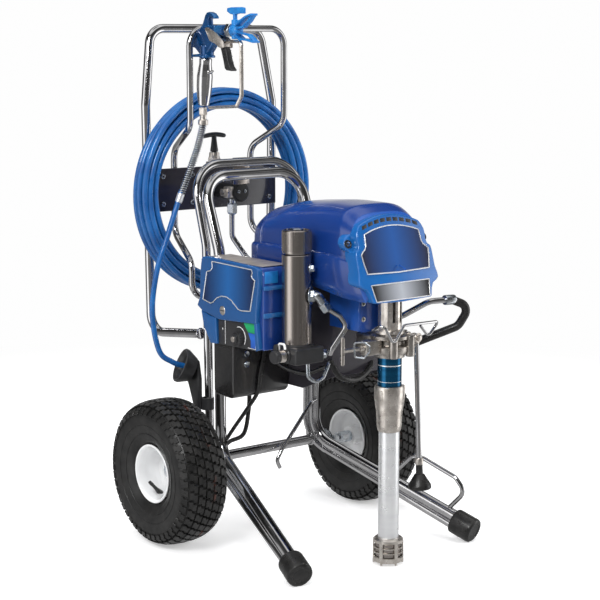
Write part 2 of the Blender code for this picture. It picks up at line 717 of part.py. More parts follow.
def pump_clamp():
    """Plated casting that clamps the pump, with an ear for the T-screw."""
    ring = turned("pump_clamp", [(0, 0.4295), (0.0340, 0.4295), (0.0360, 0.4270),
                                 (0.0360, 0.3920), (0.0330, 0.3880), (0, 0.3880)],
                  NICKEL, (0, PUMP_Y, 0), "Z", 20)
    ear = box("clamp_ear", (-0.0640, -0.3720, 0.3960), (-0.0300, -0.3500, 0.4240), NICKEL)
    wing = box("clamp_wing", (0.0300, -0.3720, 0.4000), (0.0440, -0.3480, 0.4290), NICKEL)
    tail = box("clamp_tail", (-0.0220, -0.3350, 0.3920), (0.0220, -0.2900, 0.4260), NICKEL)
    join(ring, ear, wing, tail)
    bore = cylinder("pump_bore", 0.0223, 0.3800, 0.4400, (0, PUMP_Y, 0), "Z", 24)
    screw_bore = cylinder("screw_bore", 0.0043, -0.0700, -0.0450,
                          (0, -0.3610, 0.4100), "X", 12)
    return cut(ring, bore, screw_bore)


def clamp_screw():
    """T-handled screw in the clamp's ear."""
    pivot = (0, -0.3610, 0.4100)
    shank = turned("clamp_screw", [(0, -0.0475), (0.0040, -0.0475), (0.0040, -0.0646),
                                   (0.0062, -0.0646), (0.0062, -0.0720), (0.0036, -0.0720),
                                   (0.0036, -0.1150), (0, -0.1150)], CHROME, pivot, "X", 12)
    bar = cylinder("t_bar", 0.0036, 0.3850, 0.4350, (-0.1120, -0.3610, 0), "Z", 12)
    return join(shank, bar)


def pump_latch():
    """Bent wire latch over the front of the pump."""
    pivot = (0, PUMP_Y, 0.4400)
    corners = [(-0.0275, PUMP_Y, 0.4400), (-0.0440, PUMP_Y, 0.4400), (-0.0500, -0.3900, 0.4530),
               (-0.0440, -0.3980, 0.4490), (-0.0270, -0.4000, 0.4170), (-0.0010, -0.3990, 0.4500),
               (0.0820, -0.3960, 0.4480), (0.0880, -0.3880, 0.4400), (0.0700, -0.3860, 0.4200),
               (0.0520, -0.3840, 0.4420)]
    tube("pump_latch", filleted(corners, 0.007, 2), 0.0024, CHROME, pivot)


def pump_tube_parts():
    """Cylinder, intake casting, check ball, suction tube and strainer."""
    centre = (0, PUMP_Y, 0)
    turned("pump_cylinder", [(0.0220, 0.4290), (0.0220, 0.3353), (0.0150, 0.3353),
                             (0.0150, 0.4230), (0.0066, 0.4230), (0.0066, 0.4290)],
           BLUE, centre, "Z", 20, ring=True)
    intake = turned("intake_housing", [(0.0240, 0.3350), (0.0270, 0.3300), (0.0270, 0.3060),
                                       (0.0240, 0.2960), (0.0225, 0.2600), (0.0200, 0.2500),
                                       (0.0100, 0.2500), (0.0100, 0.2600), (0.0148, 0.2680),
                                       (0.0148, 0.3350)],
                    NICKEL, centre, "Z", 20, ring=True)
    lug = box("intake_lug", (0.0220, -0.3680, 0.2900), (0.0330, -0.3520, 0.3320), NICKEL)
    join(intake, lug)
    ball = bmesh.new()
    bmesh.ops.create_uvsphere(ball, u_segments=12, v_segments=8, radius=0.0110)
    place(mesh_object("check_ball", ball), STEEL, (0, PUMP_Y, 0.2765))
    turned("suction_tube", [(0.0190, 0.2497), (0.0190, 0.0300), (0.0165, 0.0300),
                            (0.0165, 0.2497)], ALUMINIUM, centre, "Z", 20, ring=True)
    turned("strainer", [(0, 0.0070), (0.0255, 0.0070), (0.0255, 0.0460), (0.0193, 0.0460),
                        (0.0193, 0.0540), (0.0245, 0.0540), (0.0280, 0.0490), (0.0280, 0.0060),
                        (0.0260, 0.0040), (0, 0.0040)], NICKEL, centre)


def drain_tube():
    """Pressure-drain tube with its nut and rubber spray deflector."""
    foot = Vector((0.0775, PUMP_Y, 0.1290))
    top = Vector((0.0660, PUMP_Y + 0.002, 0.4150))
    length = (top - foot).length
    turned("drain_tube", [(0, length), (0.0050, length), (0.0050, 0.0560), (0.0080, 0.0560),
                          (0.0080, 0.0450), (0.0065, 0.0450), (0.0065, 0.0290), (0.0215, 0.0060),
                          (0.0215, 0), (0.0185, 0), (0.0040, 0.0250), (0, 0.0250)],
           CHROME, foot, top - foot, 16)


def pump_hose():
    """Short outlet hose from the pump to the filter, looping out to the right."""
    corners = [(0.0476, -0.3200, 0.4490), (0.0640, -0.3200, 0.4490), (0.1000, -0.3550, 0.4780),
               (0.1500, -0.3620, 0.4770), (0.1860, -0.3740, 0.4620), (0.1700, -0.3600, 0.4250),
               (0.1100, -0.3060, 0.3920), (0.0600, -0.2680, 0.3800), (0.0500, -0.2600, 0.3780)]
    tube("pump_hose", filleted(corners, 0.024, 2), 0.0080, BLACK)


# ---------------------------------------------------------------- motor cover

def cover_section(station):
    """One open cross-section of the cover, from its left edge over the top."""
    y, half, top, shoulder, low, tuck, lean = station
    points = [(-half * tuck, low), (-half, low + 0.035), (-half, shoulder)]
    rise = top - shoulder
    for angle in (25, 50, 70):
        spread = cos(radians(angle)) ** 0.75
        points.append((-half * spread, shoulder + rise * sin(radians(angle))))
    points.append((0, top))
    points += [(-x, z) for x, z in reversed(points[:-1])]
    return [Vector((x, y + lean * (z - COVER_FRONT_Z), z)) for x, z in points]


def motor_cover():
    """Blue moulded cover over the motor and drive, open at the bottom."""
    stations = [(COVER_FRONT_Y, 0.0780, 0.6450, 0.6080, 0.4960, 0.86, COVER_LEAN),
                (-0.3700, 0.0860, 0.6560, 0.6100, 0.4960, 0.90, COVER_LEAN),
                (-0.3350, 0.0950, 0.6620, 0.6080, 0.5000, 0.92, 0.10),
                (-0.2400, 0.0955, 0.6620, 0.6020, 0.5160, 1.00, 0.0),
                (-0.1400, 0.0950, 0.6540, 0.5940, 0.5160, 1.00, 0.0),
                (-0.0800, 0.0900, 0.6380, 0.5860, 0.5160, 1.00, 0.0),
                (-0.0450, 0.0740, 0.6080, 0.5700, 0.5160, 1.00, 0.0)]
    bm = bmesh.new()
    rings = [[bm.verts.new(p) for p in cover_section(s)] for s in stations]
    for first, second in zip(rings, rings[1:]):
        for i in range(len(first) - 1):
            bm.faces.new((first[i], first[i + 1], second[i + 1], second[i]))
    bm.faces.new(rings[0])
    bm.faces.new(rings[-1])
    cover = place(mesh_object("motor_cover", bm), BLUE)
    shell = cover.modifiers.new("shell", "SOLIDIFY")
    shell.thickness = COVER_WALL
    shell.offset = -1.0
    shell.use_even_offset = True
    return cover


# ------------------------------------------------------ control box and filter

def control_box():
    """Blue control housing with its knob and switch, open on its inner side."""
    outline = [(-0.0135, 0.548), (-0.0135, 0.440), (-0.0550, 0.394), (-0.2120, 0.394),
               (-0.2120, 0.535), (-0.2000, 0.548)]
    housing = flat_shape("control_box", outline, BOX_X, -0.105, BLUE)
    bevel(housing, 0.004, 1)
    inside = [(-0.0180, 0.5435), (-0.0180, 0.443), (-0.0575, 0.3985), (-0.2075, 0.3985),
              (-0.2075, 0.5335), (-0.1980, 0.5435)]
    cut(housing, flat_shape("box_inside", inside, BOX_X + 0.0045, -0.095, BLUE))
    knob_y, knob_z = -0.1430, 0.4095
    cut(housing, cylinder("knob_hole", 0.0036, -0.180, -0.165, (0, knob_y, knob_z), "X", 12))
    turned("pressure_knob", [(0, -0.1640), (0.0033, -0.1640), (0.0033, -0.1765),
                             (0.0130, -0.1765), (0.0130, -0.1860), (0.0060, -0.1860),
                             (0.0060, -0.1920), (0, -0.1920)],
           BLACK, (0, knob_y, knob_z), "X", 20)
    switch_y, switch_z = -0.0930, 0.4150
    cut(housing, box("switch_hole", (-0.180, switch_y - 0.0062, switch_z - 0.0112),
                     (-0.165, switch_y + 0.0062, switch_z + 0.0112), BLACK))
    rocker = [(-0.1690, -0.0095), (-0.1770, -0.0100), (-0.1745, 0.0), (-0.1790, 0.0100),
              (-0.1690, 0.0095)]
    flat_shape("power_switch", [(x, z + switch_z) for x, z in rocker], switch_y - 0.0059,
               switch_y + 0.0059, BLACK, "Y", (-0.1660, switch_y, switch_z))


def terminal_box():
    """Black wiring housing under the control box, with a rounded left end."""
    left, right, front, back = -0.170, -0.0385, -0.1150, -0.0500
    outline = [(back, 0.2880), (front, 0.2880), (front, 0.3936), (back, 0.3936)]
    housing = flat_shape("terminal_box", outline, left, right, BLACK)
    return bevel(housing, 0.009, 2)


def power_cord():
    """Mains cord from the wiring housing, with its moulded plug."""
    corners = [(-0.1000, -0.0700, 0.2873), (-0.1010, -0.0680, 0.2500), (-0.1000, -0.0500, 0.2000),
               (-0.0940, 0.0060, 0.1720), (-0.0900, 0.0440, 0.1400), (-0.0900, 0.0480, 0.1040)]
    cord = mesh_from_curve(curve("cord_run", filleted(corners, 0.030, 3), 0.0042))
    plug = turned("power_cord", [(0, 0.1060), (0.0075, 0.1060), (0.0150, 0.0860),
                                 (0.0150, 0.0680), (0, 0.0680)], RUBBER,
                  (-0.0900, 0.0480, 0), "Z", 12)
    return join(plug, cord)


def filter_group():
    """Fluid filter on its manifold, with the prime valve and outlet pipe."""
    manifold = box("manifold", (-0.1600, -0.2850, 0.3760), (-0.0900, -0.2136, 0.4072), BLACK,
                   0.003)
    stub = cylinder("manifold_stub", 0.0075, -0.092, -0.080, (0, -0.2720, 0.3900), "X", 12)
    join(manifold, stub)
    axis = (FILTER_X, FILTER_Y, 0)
    bowl = turned("filter_bowl", [(0.0270, 0.5730), (0.0270, 0.4076), (0.0220, 0.4076),
                                  (0.0220, 0.5730)], STEEL, axis, "Z", 24, ring=True)
    plug = cylinder("sensor_plug", 0.0060, 0.0245, 0.0360, (FILTER_X, FILTER_Y, 0.5480),
                    Vector((0.55, -0.84, 0)), 10)
    join(bowl, plug)
    cap = turned("filter_cap", [(0, 0.6170), (0.0255, 0.6170), (0.0270, 0.6150),
                                (0.0270, 0.5740), (0, 0.5740)], STEEL, axis, "Z", 24)
    bevelled = box("cap_slot", (FILTER_X - 0.004, FILTER_Y - 0.030, 0.6080),
                   (FILTER_X + 0.004, FILTER_Y + 0.030, 0.6300), STEEL)
    cut(cap, bevelled)
    turned("filter_element", [(0.0160, 0.5650), (0.0160, 0.4080), (0.0130, 0.4080),
                              (0.0130, 0.5650)], WHITE, axis, "Z", 16, ring=True)
    turned("prime_valve", [(0, -0.1604), (0.0075, -0.1604), (0.0075, -0.1660), (0.0115, -0.1660),
                           (0.0115, -0.1840), (0.0090, -0.1860), (0, -0.1860)],
           NICKEL, (0, -0.2550, 0.3920), "X", 10)


def outlet_pipe():
    """Nut, elbow and bent steel pipe beside the filter."""
    outward = Vector((0.55, -0.84, 0)).normalized()
    start = Vector((FILTER_X, FILTER_Y, 0.4980)) + outward * 0.0274
    nut = turned("outlet_pipe", rod_profile(0.0092, 0, 0.0080), CHROME, start, outward, 6)
    bend = start + outward * 0.012
    elbow = curve("outlet_elbow", [start + outward * 0.003, bend,
                                   bend + Vector((0.011, -0.006, -0.018))], 0.0070)
    path = filleted([bend + Vector((0.0085, -0.0045, -0.012)), (-0.0680, -0.3000, 0.4620),
                     (-0.0560, -0.3060, 0.4420), (-0.0780, -0.2900, 0.4000),
                     (-0.0780, -0.2840, 0.3900)], 0.012, 2)
    return join(nut, mesh_from_curve(elbow), mesh_from_curve(curve("outlet_run", path, 0.0048)))


# ------------------------------------------------------------------- assembly

def centre_footprint():
    """Move every piece, and its cutters, so the origin is the footprint's middle."""
    for obj in (*PARTS.objects, *TOOLS.objects):
        obj.location.y -= FOOTPRINT_Y


def build():
    """Make every piece."""
    front_hoop()
    rear_hoop()
    crossbar()
    cart_handle()
    foot_caps()
    wheels()
    leg_bail()
    brace_rod()
    hose_guide()
    reel_hub()
    feed_pipe()
    reel_frame()
    reel_plate()
    lock_plunger()
    hose_coil()
    gun_body()
    gun_handle()
    gun_trigger()
    trigger_guard()
    tip_guard()
    spray_tip()
    gun_hose()
    drive_bracket()
    motor_case()
    armature()
    crank_gear()
    gear_housing()
    drive_housing()
    piston_rod()
    pump_clamp()
    clamp_screw()
    pump_latch()
    pump_tube_parts()
    drain_tube()
    pump_hose()
    motor_cover()
    control_box()
    terminal_box()
    power_cord()
    filter_group()
    outlet_pipe()
    centre_footprint()


build()
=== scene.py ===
from math import cos, pi, radians, sin, tan
import random

import bmesh
import bpy
import numpy as np
from mathutils import Matrix, Vector


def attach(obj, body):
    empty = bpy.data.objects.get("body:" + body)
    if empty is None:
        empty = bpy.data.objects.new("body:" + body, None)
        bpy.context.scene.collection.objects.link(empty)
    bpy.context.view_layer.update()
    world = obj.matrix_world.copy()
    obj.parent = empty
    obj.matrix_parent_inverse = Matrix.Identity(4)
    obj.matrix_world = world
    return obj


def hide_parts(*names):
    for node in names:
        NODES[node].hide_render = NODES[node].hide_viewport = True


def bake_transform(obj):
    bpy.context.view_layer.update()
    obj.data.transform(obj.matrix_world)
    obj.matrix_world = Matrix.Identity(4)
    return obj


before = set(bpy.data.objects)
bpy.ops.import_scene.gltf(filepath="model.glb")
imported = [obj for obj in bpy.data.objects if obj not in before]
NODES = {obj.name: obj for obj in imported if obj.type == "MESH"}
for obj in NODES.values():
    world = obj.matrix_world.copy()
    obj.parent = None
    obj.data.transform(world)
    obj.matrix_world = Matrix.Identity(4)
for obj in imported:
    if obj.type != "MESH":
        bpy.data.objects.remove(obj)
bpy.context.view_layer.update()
# Coordinates are measured from the floor point midway between the wheel centres; this is
# that point's place in the shared frame.
ORIGIN = Vector((0.0, 0.094, 0.0))
SCENE = bpy.context.scene
random.seed(7)


# ------------------------------------------------------------------ materials

class Shader:
    """A node tree with a Principled BSDF, and short ways to add nodes to it."""

    def __init__(self, name, colour, roughness, metallic=0.0, coat=0.0):
        self.mat = bpy.data.materials.new(name)
        self.mat.use_nodes = True
        self.tree = self.mat.node_tree
        self.bsdf = self.tree.nodes["Principled BSDF"]
        self.set("Base Color", (*colour, 1.0))
        self.set("Roughness", roughness)
        self.set("Metallic", metallic)
        self.set("Coat Weight", coat)
        self.set("Coat Roughness", 0.06)
        self.coords = self.node("ShaderNodeTexCoord").outputs["Object"]
        self.normal = None
        self.mat.diffuse_color = (*colour, 1.0)

    def node(self, kind, **values):
        made = self.tree.nodes.new(kind)
        for key, value in values.items():
            setattr(made, key, value)
        return made

    def set(self, socket, value):
        self.bsdf.inputs[socket].default_value = value

    def link(self, source, target):
        self.tree.links.new(source, target)

    def scaled(self, scale):
        """Object coordinates, stretched."""
        mapping = self.node("ShaderNodeMapping")
        mapping.inputs["Scale"].default_value = scale
        self.link(self.coords, mapping.inputs["Vector"])
        return mapping.outputs["Vector"]

    def noise(self, scale, detail=3.0, stretch=None):
        tex = self.node("ShaderNodeTexNoise")
        tex.inputs["Scale"].default_value = scale
        tex.inputs["Detail"].default_value = detail
        self.link(self.scaled(stretch) if stretch else self.coords, tex.inputs["Vector"])
        return tex.outputs["Fac"]

    def ramp(self, fac, stops):
        ramp = self.node("ShaderNodeValToRGB")
        elements = ramp.color_ramp.elements
        while len(elements) < len(stops):
            elements.new(0.5)
        for element, (position, colour) in zip(elements, stops):
            element.position = position
            element.color = (*colour, 1.0) if len(colour) == 3 else colour
        self.link(fac, ramp.inputs["Fac"])
        return ramp.outputs["Color"]

    def vary_colour(self, scale, first, second, stretch=None, low=0.35, high=0.65):
        """Base colour that drifts between two colours."""
        colour = self.ramp(self.noise(scale, 4.0, stretch), [(low, first), (high, second)])
        self.link(colour, self.bsdf.inputs["Base Color"])
        return self

    def vary_roughness(self, scale, low, high, stretch=None):
        grey = self.ramp(self.noise(scale, 4.0, stretch), [(0.3, (low,) * 3), (0.7, (high,) * 3)])
        self.link(grey, self.bsdf.inputs["Roughness"])
        return self

    def bump(self, scale, strength, distance=0.001, stretch=None, detail=3.0):
        """Add a layer of noise bump on top of the ones before it."""
        return self.bump_from(self.noise(scale, detail, stretch), strength, distance)

    def bump_from(self, height, strength, distance):
        bump = self.node("ShaderNodeBump")
        bump.inputs["Strength"].default_value = strength
        bump.inputs["Distance"].default_value = distance
        self.link(height, bump.inputs["Height"])
        if self.normal:
            self.link(self.normal, bump.inputs["Normal"])
        self.normal = bump.outputs["Normal"]
        self.link(self.normal, self.bsdf.inputs["Normal"])
        return self

    def wear(self, colour, amount=0.5):
        """A lighter colour along convex edges, from the Geometry node's pointiness: a painted edge
        highlight.
        """
        geo = self.node("ShaderNodeNewGeometry")
        edge = self.ramp(geo.outputs["Pointiness"], [(0.52, (0, 0, 0)), (0.62, (amount,) * 3)])
        mix = self.node("ShaderNodeMix", data_type="RGBA")
        base = self.bsdf.inputs["Base Color"]
        if base.is_linked:
            self.link(base.links[0].from_socket, mix.inputs[6])
        else:
            mix.inputs[6].default_value = base.default_value
        mix.inputs[7].default_value = (*colour, 1.0)
        self.link(edge, mix.inputs[0])
        self.link(mix.outputs[2], base)
        return self


def surface(name, colour, roughness, metallic, coat, *layers):
    """A material whose layers, each a Shader method and its values, are added in turn."""
    shader = Shader(name, colour, roughness, metallic, coat)
    for method, *values in layers:
        getattr(shader, method)(*values)
    return shader.mat


def nickel(name, level):
    s = Shader(name, (level, level * 0.93, level * 0.85), 0.3, 0.95)
    s.vary_colour(90, (level * 0.87, level * 0.8, level * 0.73), (level * 1.15, level * 1.08,
        level))
    s.vary_roughness(140, 0.24, 0.4)
    s.bump(420, 0.22, 0.0006)
    return s.bump(60, 0.1, 0.002)


def aluminium():
    s = Shader("anodised aluminium", (0.92, 0.93, 0.95), 0.28, 0.7)
    s.vary_colour(10, (0.88, 0.89, 0.91), (0.96, 0.97, 0.98), (1, 1, 8))
    s.vary_roughness(22, 0.26, 0.34, (1, 1, 3))
    wave = s.node("ShaderNodeTexWave", bands_direction="Z")
    wave.inputs["Scale"].default_value = 65
    wave.inputs["Distortion"].default_value = 0.0
    s.link(s.coords, wave.inputs["Vector"])
    return s.bump_from(wave.outputs["Fac"], 0.015, 0.0002)


def rubber(name, level, rough):
    s = Shader(name, (level,) * 3, rough)
    s.vary_colour(45, (level * 0.7,) * 3, (level * 1.6, level * 1.55, level * 1.5))
    s.vary_roughness(80, rough - 0.1, rough + 0.12)
    s.bump(650, 0.25, 0.0005)
    return s.bump(90, 0.1, 0.001)


def tread_rubber():
    """Tyre rubber with the faint reddish marks of a new tyre along its middle."""
    s = rubber("tread rubber", 0.012, 0.36)
    split = s.node("ShaderNodeSeparateXYZ")
    s.link(s.coords, split.inputs[0])
    away = s.node("ShaderNodeMath", operation="ABSOLUTE")
    s.link(split.outputs["X"], away.inputs[0])
    offset = s.node("ShaderNodeMath", operation="COMPARE")
    offset.inputs[1].default_value = 0.232
    offset.inputs[2].default_value = 0.0035
    s.link(away.outputs[0], offset.inputs[0])
    patchy = s.ramp(s.noise(38, 2.0), [(0.5, (0, 0, 0)), (0.62, (0.75,) * 3)])
    amount = s.node("ShaderNodeMath", operation="MULTIPLY")
    s.link(offset.outputs[0], amount.inputs[0])
    s.link(patchy, amount.inputs[1])
    mix = s.node("ShaderNodeMix", data_type="RGBA")
    base = s.bsdf.inputs["Base Color"]
    s.link(base.links[0].from_socket, mix.inputs[6])
    mix.inputs[7].default_value = (0.1, 0.035, 0.025, 1.0)
    s.link(amount.outputs[0], mix.inputs[0])
    s.link(mix.outputs[2], base)
    return s


def gradient_label(name, axis, centre, half, middle, edge):
    """A printed panel whose colour fades from its middle to both sides."""
    s = Shader(name, middle, 0.3, 0.0, 0.1)
    split = s.node("ShaderNodeSeparateXYZ")
    s.link(s.coords, split.inputs[0])
    away = s.node("ShaderNodeMapRange")
    away.inputs["From Min"].default_value = centre - half
    away.inputs["From Max"].default_value = centre + half
    s.link(split.outputs[axis], away.inputs["Value"])
    colour = s.ramp(away.outputs[0], [(0.04, edge), (0.5, middle), (0.96, edge)])
    s.link(colour, s.bsdf.inputs["Base Color"])
    return s.bump(700, 0.03, 0.0002)


CHROME = surface("chrome", (0.66, 0.655, 0.665), 0.09, 1.0, 0.0, ("vary_roughness", 60, 0.07,
    0.13), ("vary_colour", 25, (0.6, 0.595, 0.61), (0.74, 0.735, 0.74)), ("bump", 9, 0.02, 0.001))
NICKEL = nickel("nickel plated casting", 0.8).mat
# The clamp's nickel is a darker copy of the plated nickel above: painted shade.
SHADED_NICKEL = nickel("nickel with painted shade", 0.5).mat
ZINC = surface("zinc plated steel", (0.66, 0.7, 0.74), 0.22, 1.0, 0.0, ("vary_colour", 70,
    (0.52, 0.58, 0.64), (0.8, 0.82, 0.84)), ("vary_roughness", 120, 0.16, 0.32))
# Ground steel with faint streaks along its length
STEEL = surface("turned steel", (0.4, 0.36, 0.335), 0.24, 1.0, 0.0, ("vary_colour", 12,
    (0.37, 0.33, 0.305), (0.45, 0.41, 0.38), (12, 12, 0.4)), ("vary_roughness", 30, 0.2, 0.28,
    (12, 12, 0.4)), ("bump", 700, 0.02, 0.0002))
ALUMINIUM = aluminium().mat
# In several materials below, the last layer paints a lighter colour along convex edges: a painted
# edge highlight.
SHELL = surface("deep blue enamel", (0.005, 0.03, 0.17), 0.2, 0.0, 0.8, ("vary_colour", 3.0,
    (0.005, 0.023, 0.15), (0.007, 0.045, 0.225)), ("vary_roughness", 90, 0.16, 0.26),
    ("bump", 340, 0.035, 0.0005), ("wear", (0.03, 0.14, 0.55), 0.5))
FRAME_BLUE = surface("bright blue enamel", (0.005, 0.095, 0.33), 0.24, 0.0, 0.7, ("vary_colour",
    4.0, (0.004, 0.075, 0.28), (0.007, 0.12, 0.38)), ("bump", 380, 0.04, 0.0005),
    ("wear", (0.03, 0.22, 0.7), 0.55))
BOX_BLUE = surface("mid blue enamel", (0.006, 0.058, 0.2), 0.24, 0.0, 0.7, ("vary_colour", 4.0,
    (0.005, 0.045, 0.165), (0.008, 0.075, 0.24)), ("bump", 380, 0.04, 0.0005),
    ("wear", (0.03, 0.18, 0.5), 0.55))
SATIN = surface("satin black metal", (0.012, 0.012, 0.013), 0.24, 0.0, 0.6, ("vary_colour", 20,
    (0.009, 0.009, 0.01), (0.017, 0.016, 0.016)), ("bump", 300, 0.04, 0.0004), ("wear",
    (0.07, 0.065, 0.06), 0.5))
GUN_BLUE = surface("blue anodised casting", (0.003, 0.05, 0.175), 0.18, 0.45, 0.6, ("vary_colour",
    40, (0.002, 0.036, 0.135), (0.005, 0.072, 0.23)), ("bump", 260, 0.08, 0.0006),
    ("wear", (0.05, 0.3, 0.7), 0.6))
LIGHT_BLUE = surface("light blue plastic", (0.01, 0.17, 0.48), 0.33, 0.0, 0.3, ("vary_colour", 60,
    (0.008, 0.13, 0.42), (0.014, 0.21, 0.55)), ("bump", 500, 0.08, 0.0004))
CYLINDER_BLUE = surface("blue anodised steel", (0.008, 0.085, 0.185), 0.15, 0.85, 0.0,
    ("vary_colour", 8, (0.006, 0.065, 0.15), (0.012, 0.115, 0.24), (1, 1, 20)), ("bump", 50, 0.05,
    0.0004, (1, 1, 50)))
HOSE = surface("blue hose jacket", (0.008, 0.1, 0.33), 0.28, 0.0, 0.5, ("vary_colour", 26,
    (0.006, 0.08, 0.28), (0.01, 0.13, 0.4)), ("vary_roughness", 60, 0.24, 0.4),
    ("bump", 220, 0.06, 0.0006))
WHITE = surface("white enamel", (0.84, 0.845, 0.85), 0.26, 0.0, 0.4, ("vary_colour", 18,
    (0.78, 0.785, 0.79), (0.88, 0.885, 0.89)), ("bump", 240, 0.05, 0.0006))
TYRE = rubber("tyre rubber", 0.011, 0.38).mat
TREAD = tread_rubber().mat
RUBBER = rubber("black rubber", 0.013, 0.3).mat
BLACK = surface("black moulded plastic", (0.013, 0.013, 0.014), 0.36, 0.0, 0.0, ("vary_colour", 30,
    (0.01, 0.01, 0.011), (0.02, 0.02, 0.021)), ("vary_roughness", 60, 0.28, 0.46),
    ("bump", 900, 0.18, 0.0003), ("wear", (0.06, 0.06, 0.065), 0.5))
DARK = surface("dark enamel", (0.01, 0.011, 0.02), 0.2, 0.0, 0.6, ("vary_colour", 6,
    (0.008, 0.009, 0.016), (0.015, 0.014, 0.022)), ("bump", 300, 0.03, 0.0005),
    ("wear", (0.1, 0.09, 0.1), 0.4))
TAUPE = surface("taupe metal plate", (0.36, 0.325, 0.3), 0.36, 0.5, 0.0, ("vary_colour", 12,
    (0.31, 0.28, 0.26), (0.42, 0.38, 0.35), (1, 8, 1)), ("bump", 200, 0.06, 0.0004))
WOUND = surface("laminated steel and copper", (0.35, 0.2, 0.12), 0.42, 1.0, 0.0, ("vary_colour",
    20, (0.28, 0.16, 0.1), (0.46, 0.3, 0.2), (1, 30, 1)), ("bump", 90, 0.3, 0.001, (1, 12, 1)))
COVER_LABEL = gradient_label("cover panel", "X", 0.0, 0.082, (0.005, 0.062, 0.25),
    (0.004, 0.007, 0.03)).mat
NAMEPLATE = gradient_label("name strip", "X", 0.0, 0.068, (0.34, 0.36, 0.4),
    (0.008, 0.008, 0.01)).mat
BOX_LABEL = gradient_label("control panel", "Y", -0.115, 0.088, (0.008, 0.1, 0.32),
    (0.004, 0.008, 0.04)).mat
DECAL_GREEN = gradient_label("scale, green part", "Z", 0.435, 0.012, (0.01, 0.36, 0.12),
    (0.008, 0.25, 0.1)).mat
DECAL_BLUE = gradient_label("scale, blue part", "Z", 0.415, 0.02, (0.02, 0.12, 0.5),
    (0.01, 0.07, 0.36)).mat


# ------------------------------------------------------------------- geometry

def mm(*points):
    """Points given in millimetres, as a list in metres."""
    return [tuple(v / 1000 for v in point) for point in points]


def linked(name, mesh, mat, smooth=35.0):
    mesh.shade_smooth()
    mesh.set_sharp_from_angle(angle=radians(smooth))
    mesh.materials.append(mat)
    obj = bpy.data.objects.new(name, mesh)
    SCENE.collection.objects.link(obj)
    return obj


def from_bmesh(name, bm, mat, smooth=35.0):
    bmesh.ops.remove_doubles(bm, verts=bm.verts, dist=1e-6)
    bmesh.ops.recalc_face_normals(bm, faces=bm.faces)
    mesh = bpy.data.meshes.new(name)
    bm.to_mesh(mesh)
    bm.free()
    return linked(name, mesh, mat, smooth)


def from_grid(name, rows, mat, around=False, along=False, caps=False, smooth=35.0):
    """A mesh from rows of points; it may close round each row or from last row to first."""
    bm = bmesh.new()
    rings = [[bm.verts.new(Vector(p)) for p in row] for row in rows]
    pairs = list(zip(rings, rings[1:]))
    if along:
        pairs.append((rings[-1], rings[0]))
    count = len(rings[0])
    for first, second in pairs:
        for i in range(count if around else count - 1):
            j = (i + 1) % count
            bm.faces.new((first[i], first[j], second[j], second[i]))
    if caps:
        bm.faces.new(rings[0])
        bm.faces.new(rings[-1])
    return from_bmesh(name, bm, mat, smooth)


def filleted(corners, radius, steps=8):
    """Replace each inner corner of a path by an arc."""
    corners = [Vector(c) for c in corners]
    path = [corners[0]]
    for before, corner, after in zip(corners, corners[1:], corners[2:]):
        into = (corner - before).normalized()
        out = (after - corner).normalized()
        turn = into.angle(out)
        reach = min(radius * tan(turn / 2), (corner - before).length * 0.49,
            (after - corner).length * 0.49)
        bend = reach / tan(turn / 2)
        centre = corner + (out - into).normalized() * (bend / cos(turn / 2))
        normal = into.cross(out).normalized()
        start = corner - into * reach - centre
        for step in range(steps + 1):
            path.append(centre + Matrix.Rotation(turn * step / steps, 3, normal) @ start)
    path.append(corners[-1])
    return path


def mirrored(half):
    half = [Vector(c) for c in half]
    return half + [Vector((-c.x, c.y, c.z)) for c in reversed(half)]


def spline(points, count):
    """A smooth curve through points."""
    pts = [Vector(p) for p in points]
    pts = [pts[0] * 2 - pts[1], *pts, pts[-1] * 2 - pts[-2]]
    path = []
    spans = len(pts) - 3
    for k in range(count + 1):
        place = k / count * spans
        i = min(int(place), spans - 1)
        t = place - i
        a, b, c, d = pts[i:i + 4]
        path.append(0.5 * (2 * b + (c - a) * t + (2 * a - 5 * b + 4 * c - d) * t * t
                           + (3 * b - a - 3 * c + d) * t ** 3))
    return path


def tube(name, path, radius, mat, sides=24, closed=False, flat=1.0):
    """A round tube along a path; radius may be one number or one for each point."""
    path = [Vector(p) for p in path]
    count = len(path)
    radii = radius if isinstance(radius, (list, tuple)) else [radius] * count
    rows = []
    normal = None
    for i, point in enumerate(path):
        before = path[i - 1] if i or closed else path[0]
        after = path[(i + 1) % count] if i < count - 1 or closed else path[-1]
        tangent = (after - before).normalized()
        if normal is None:
            normal = tangent.orthogonal().normalized()
        normal = (normal - tangent * normal.dot(tangent)).normalized()
        side = tangent.cross(normal)
        rows.append([point + (normal * cos(a) + side * sin(a) * flat) * radii[i]
                     for a in (2 * pi * k / sides for k in range(sides))])
    if closed:
        first = rows[0]
        shift = min(range(sides), key=lambda s: (rows[-1][s] - first[0]).length)
        rows.append([first[(k - shift) % sides] for k in range(sides)])
        return from_grid(name, rows, mat, around=True)
    return from_grid(name, rows, mat, around=True, caps=True)


def revolve(name, profile, mat, at=(0, 0, 0), axis=(0, 0, 1), steps=48, soft=0.0, smooth=30.0,
        start=0.0):
    """A profile of (radius, height) points turned about an axis; soft rounds its corners."""
    if soft:
        rounded = filleted([(r, 0, z) for r, z in profile], soft, 3)
        profile = [(p.x, p.z) for p in rounded]
    turn = Vector(axis).to_track_quat("Z", "Y").to_matrix()
    origin = Vector(at)
    rows = []
    for r, z in profile:
        ring = [Vector((max(r, 0) * cos(a), max(r, 0) * sin(a),
            z)) for a in (start + 2 * pi * k / steps for k in range(steps))]
        rows.append([origin + turn @ p for p in ring])
    return from_grid(name, rows, mat, around=True, smooth=smooth)


AXES = {"X": lambda a, b, c: Vector((c, a, b)), "Y": lambda a, b, c: Vector((a, c, b)),
    "Z": lambda a, b, c: Vector((a, b, c))}


def front_plane(x, z, depth):
    """A point on the cover's leaning front, depth in front of it."""
    return Vector((x, -0.39 + 0.3 * (z - 0.505) - depth, z))


AXES["front"] = front_plane


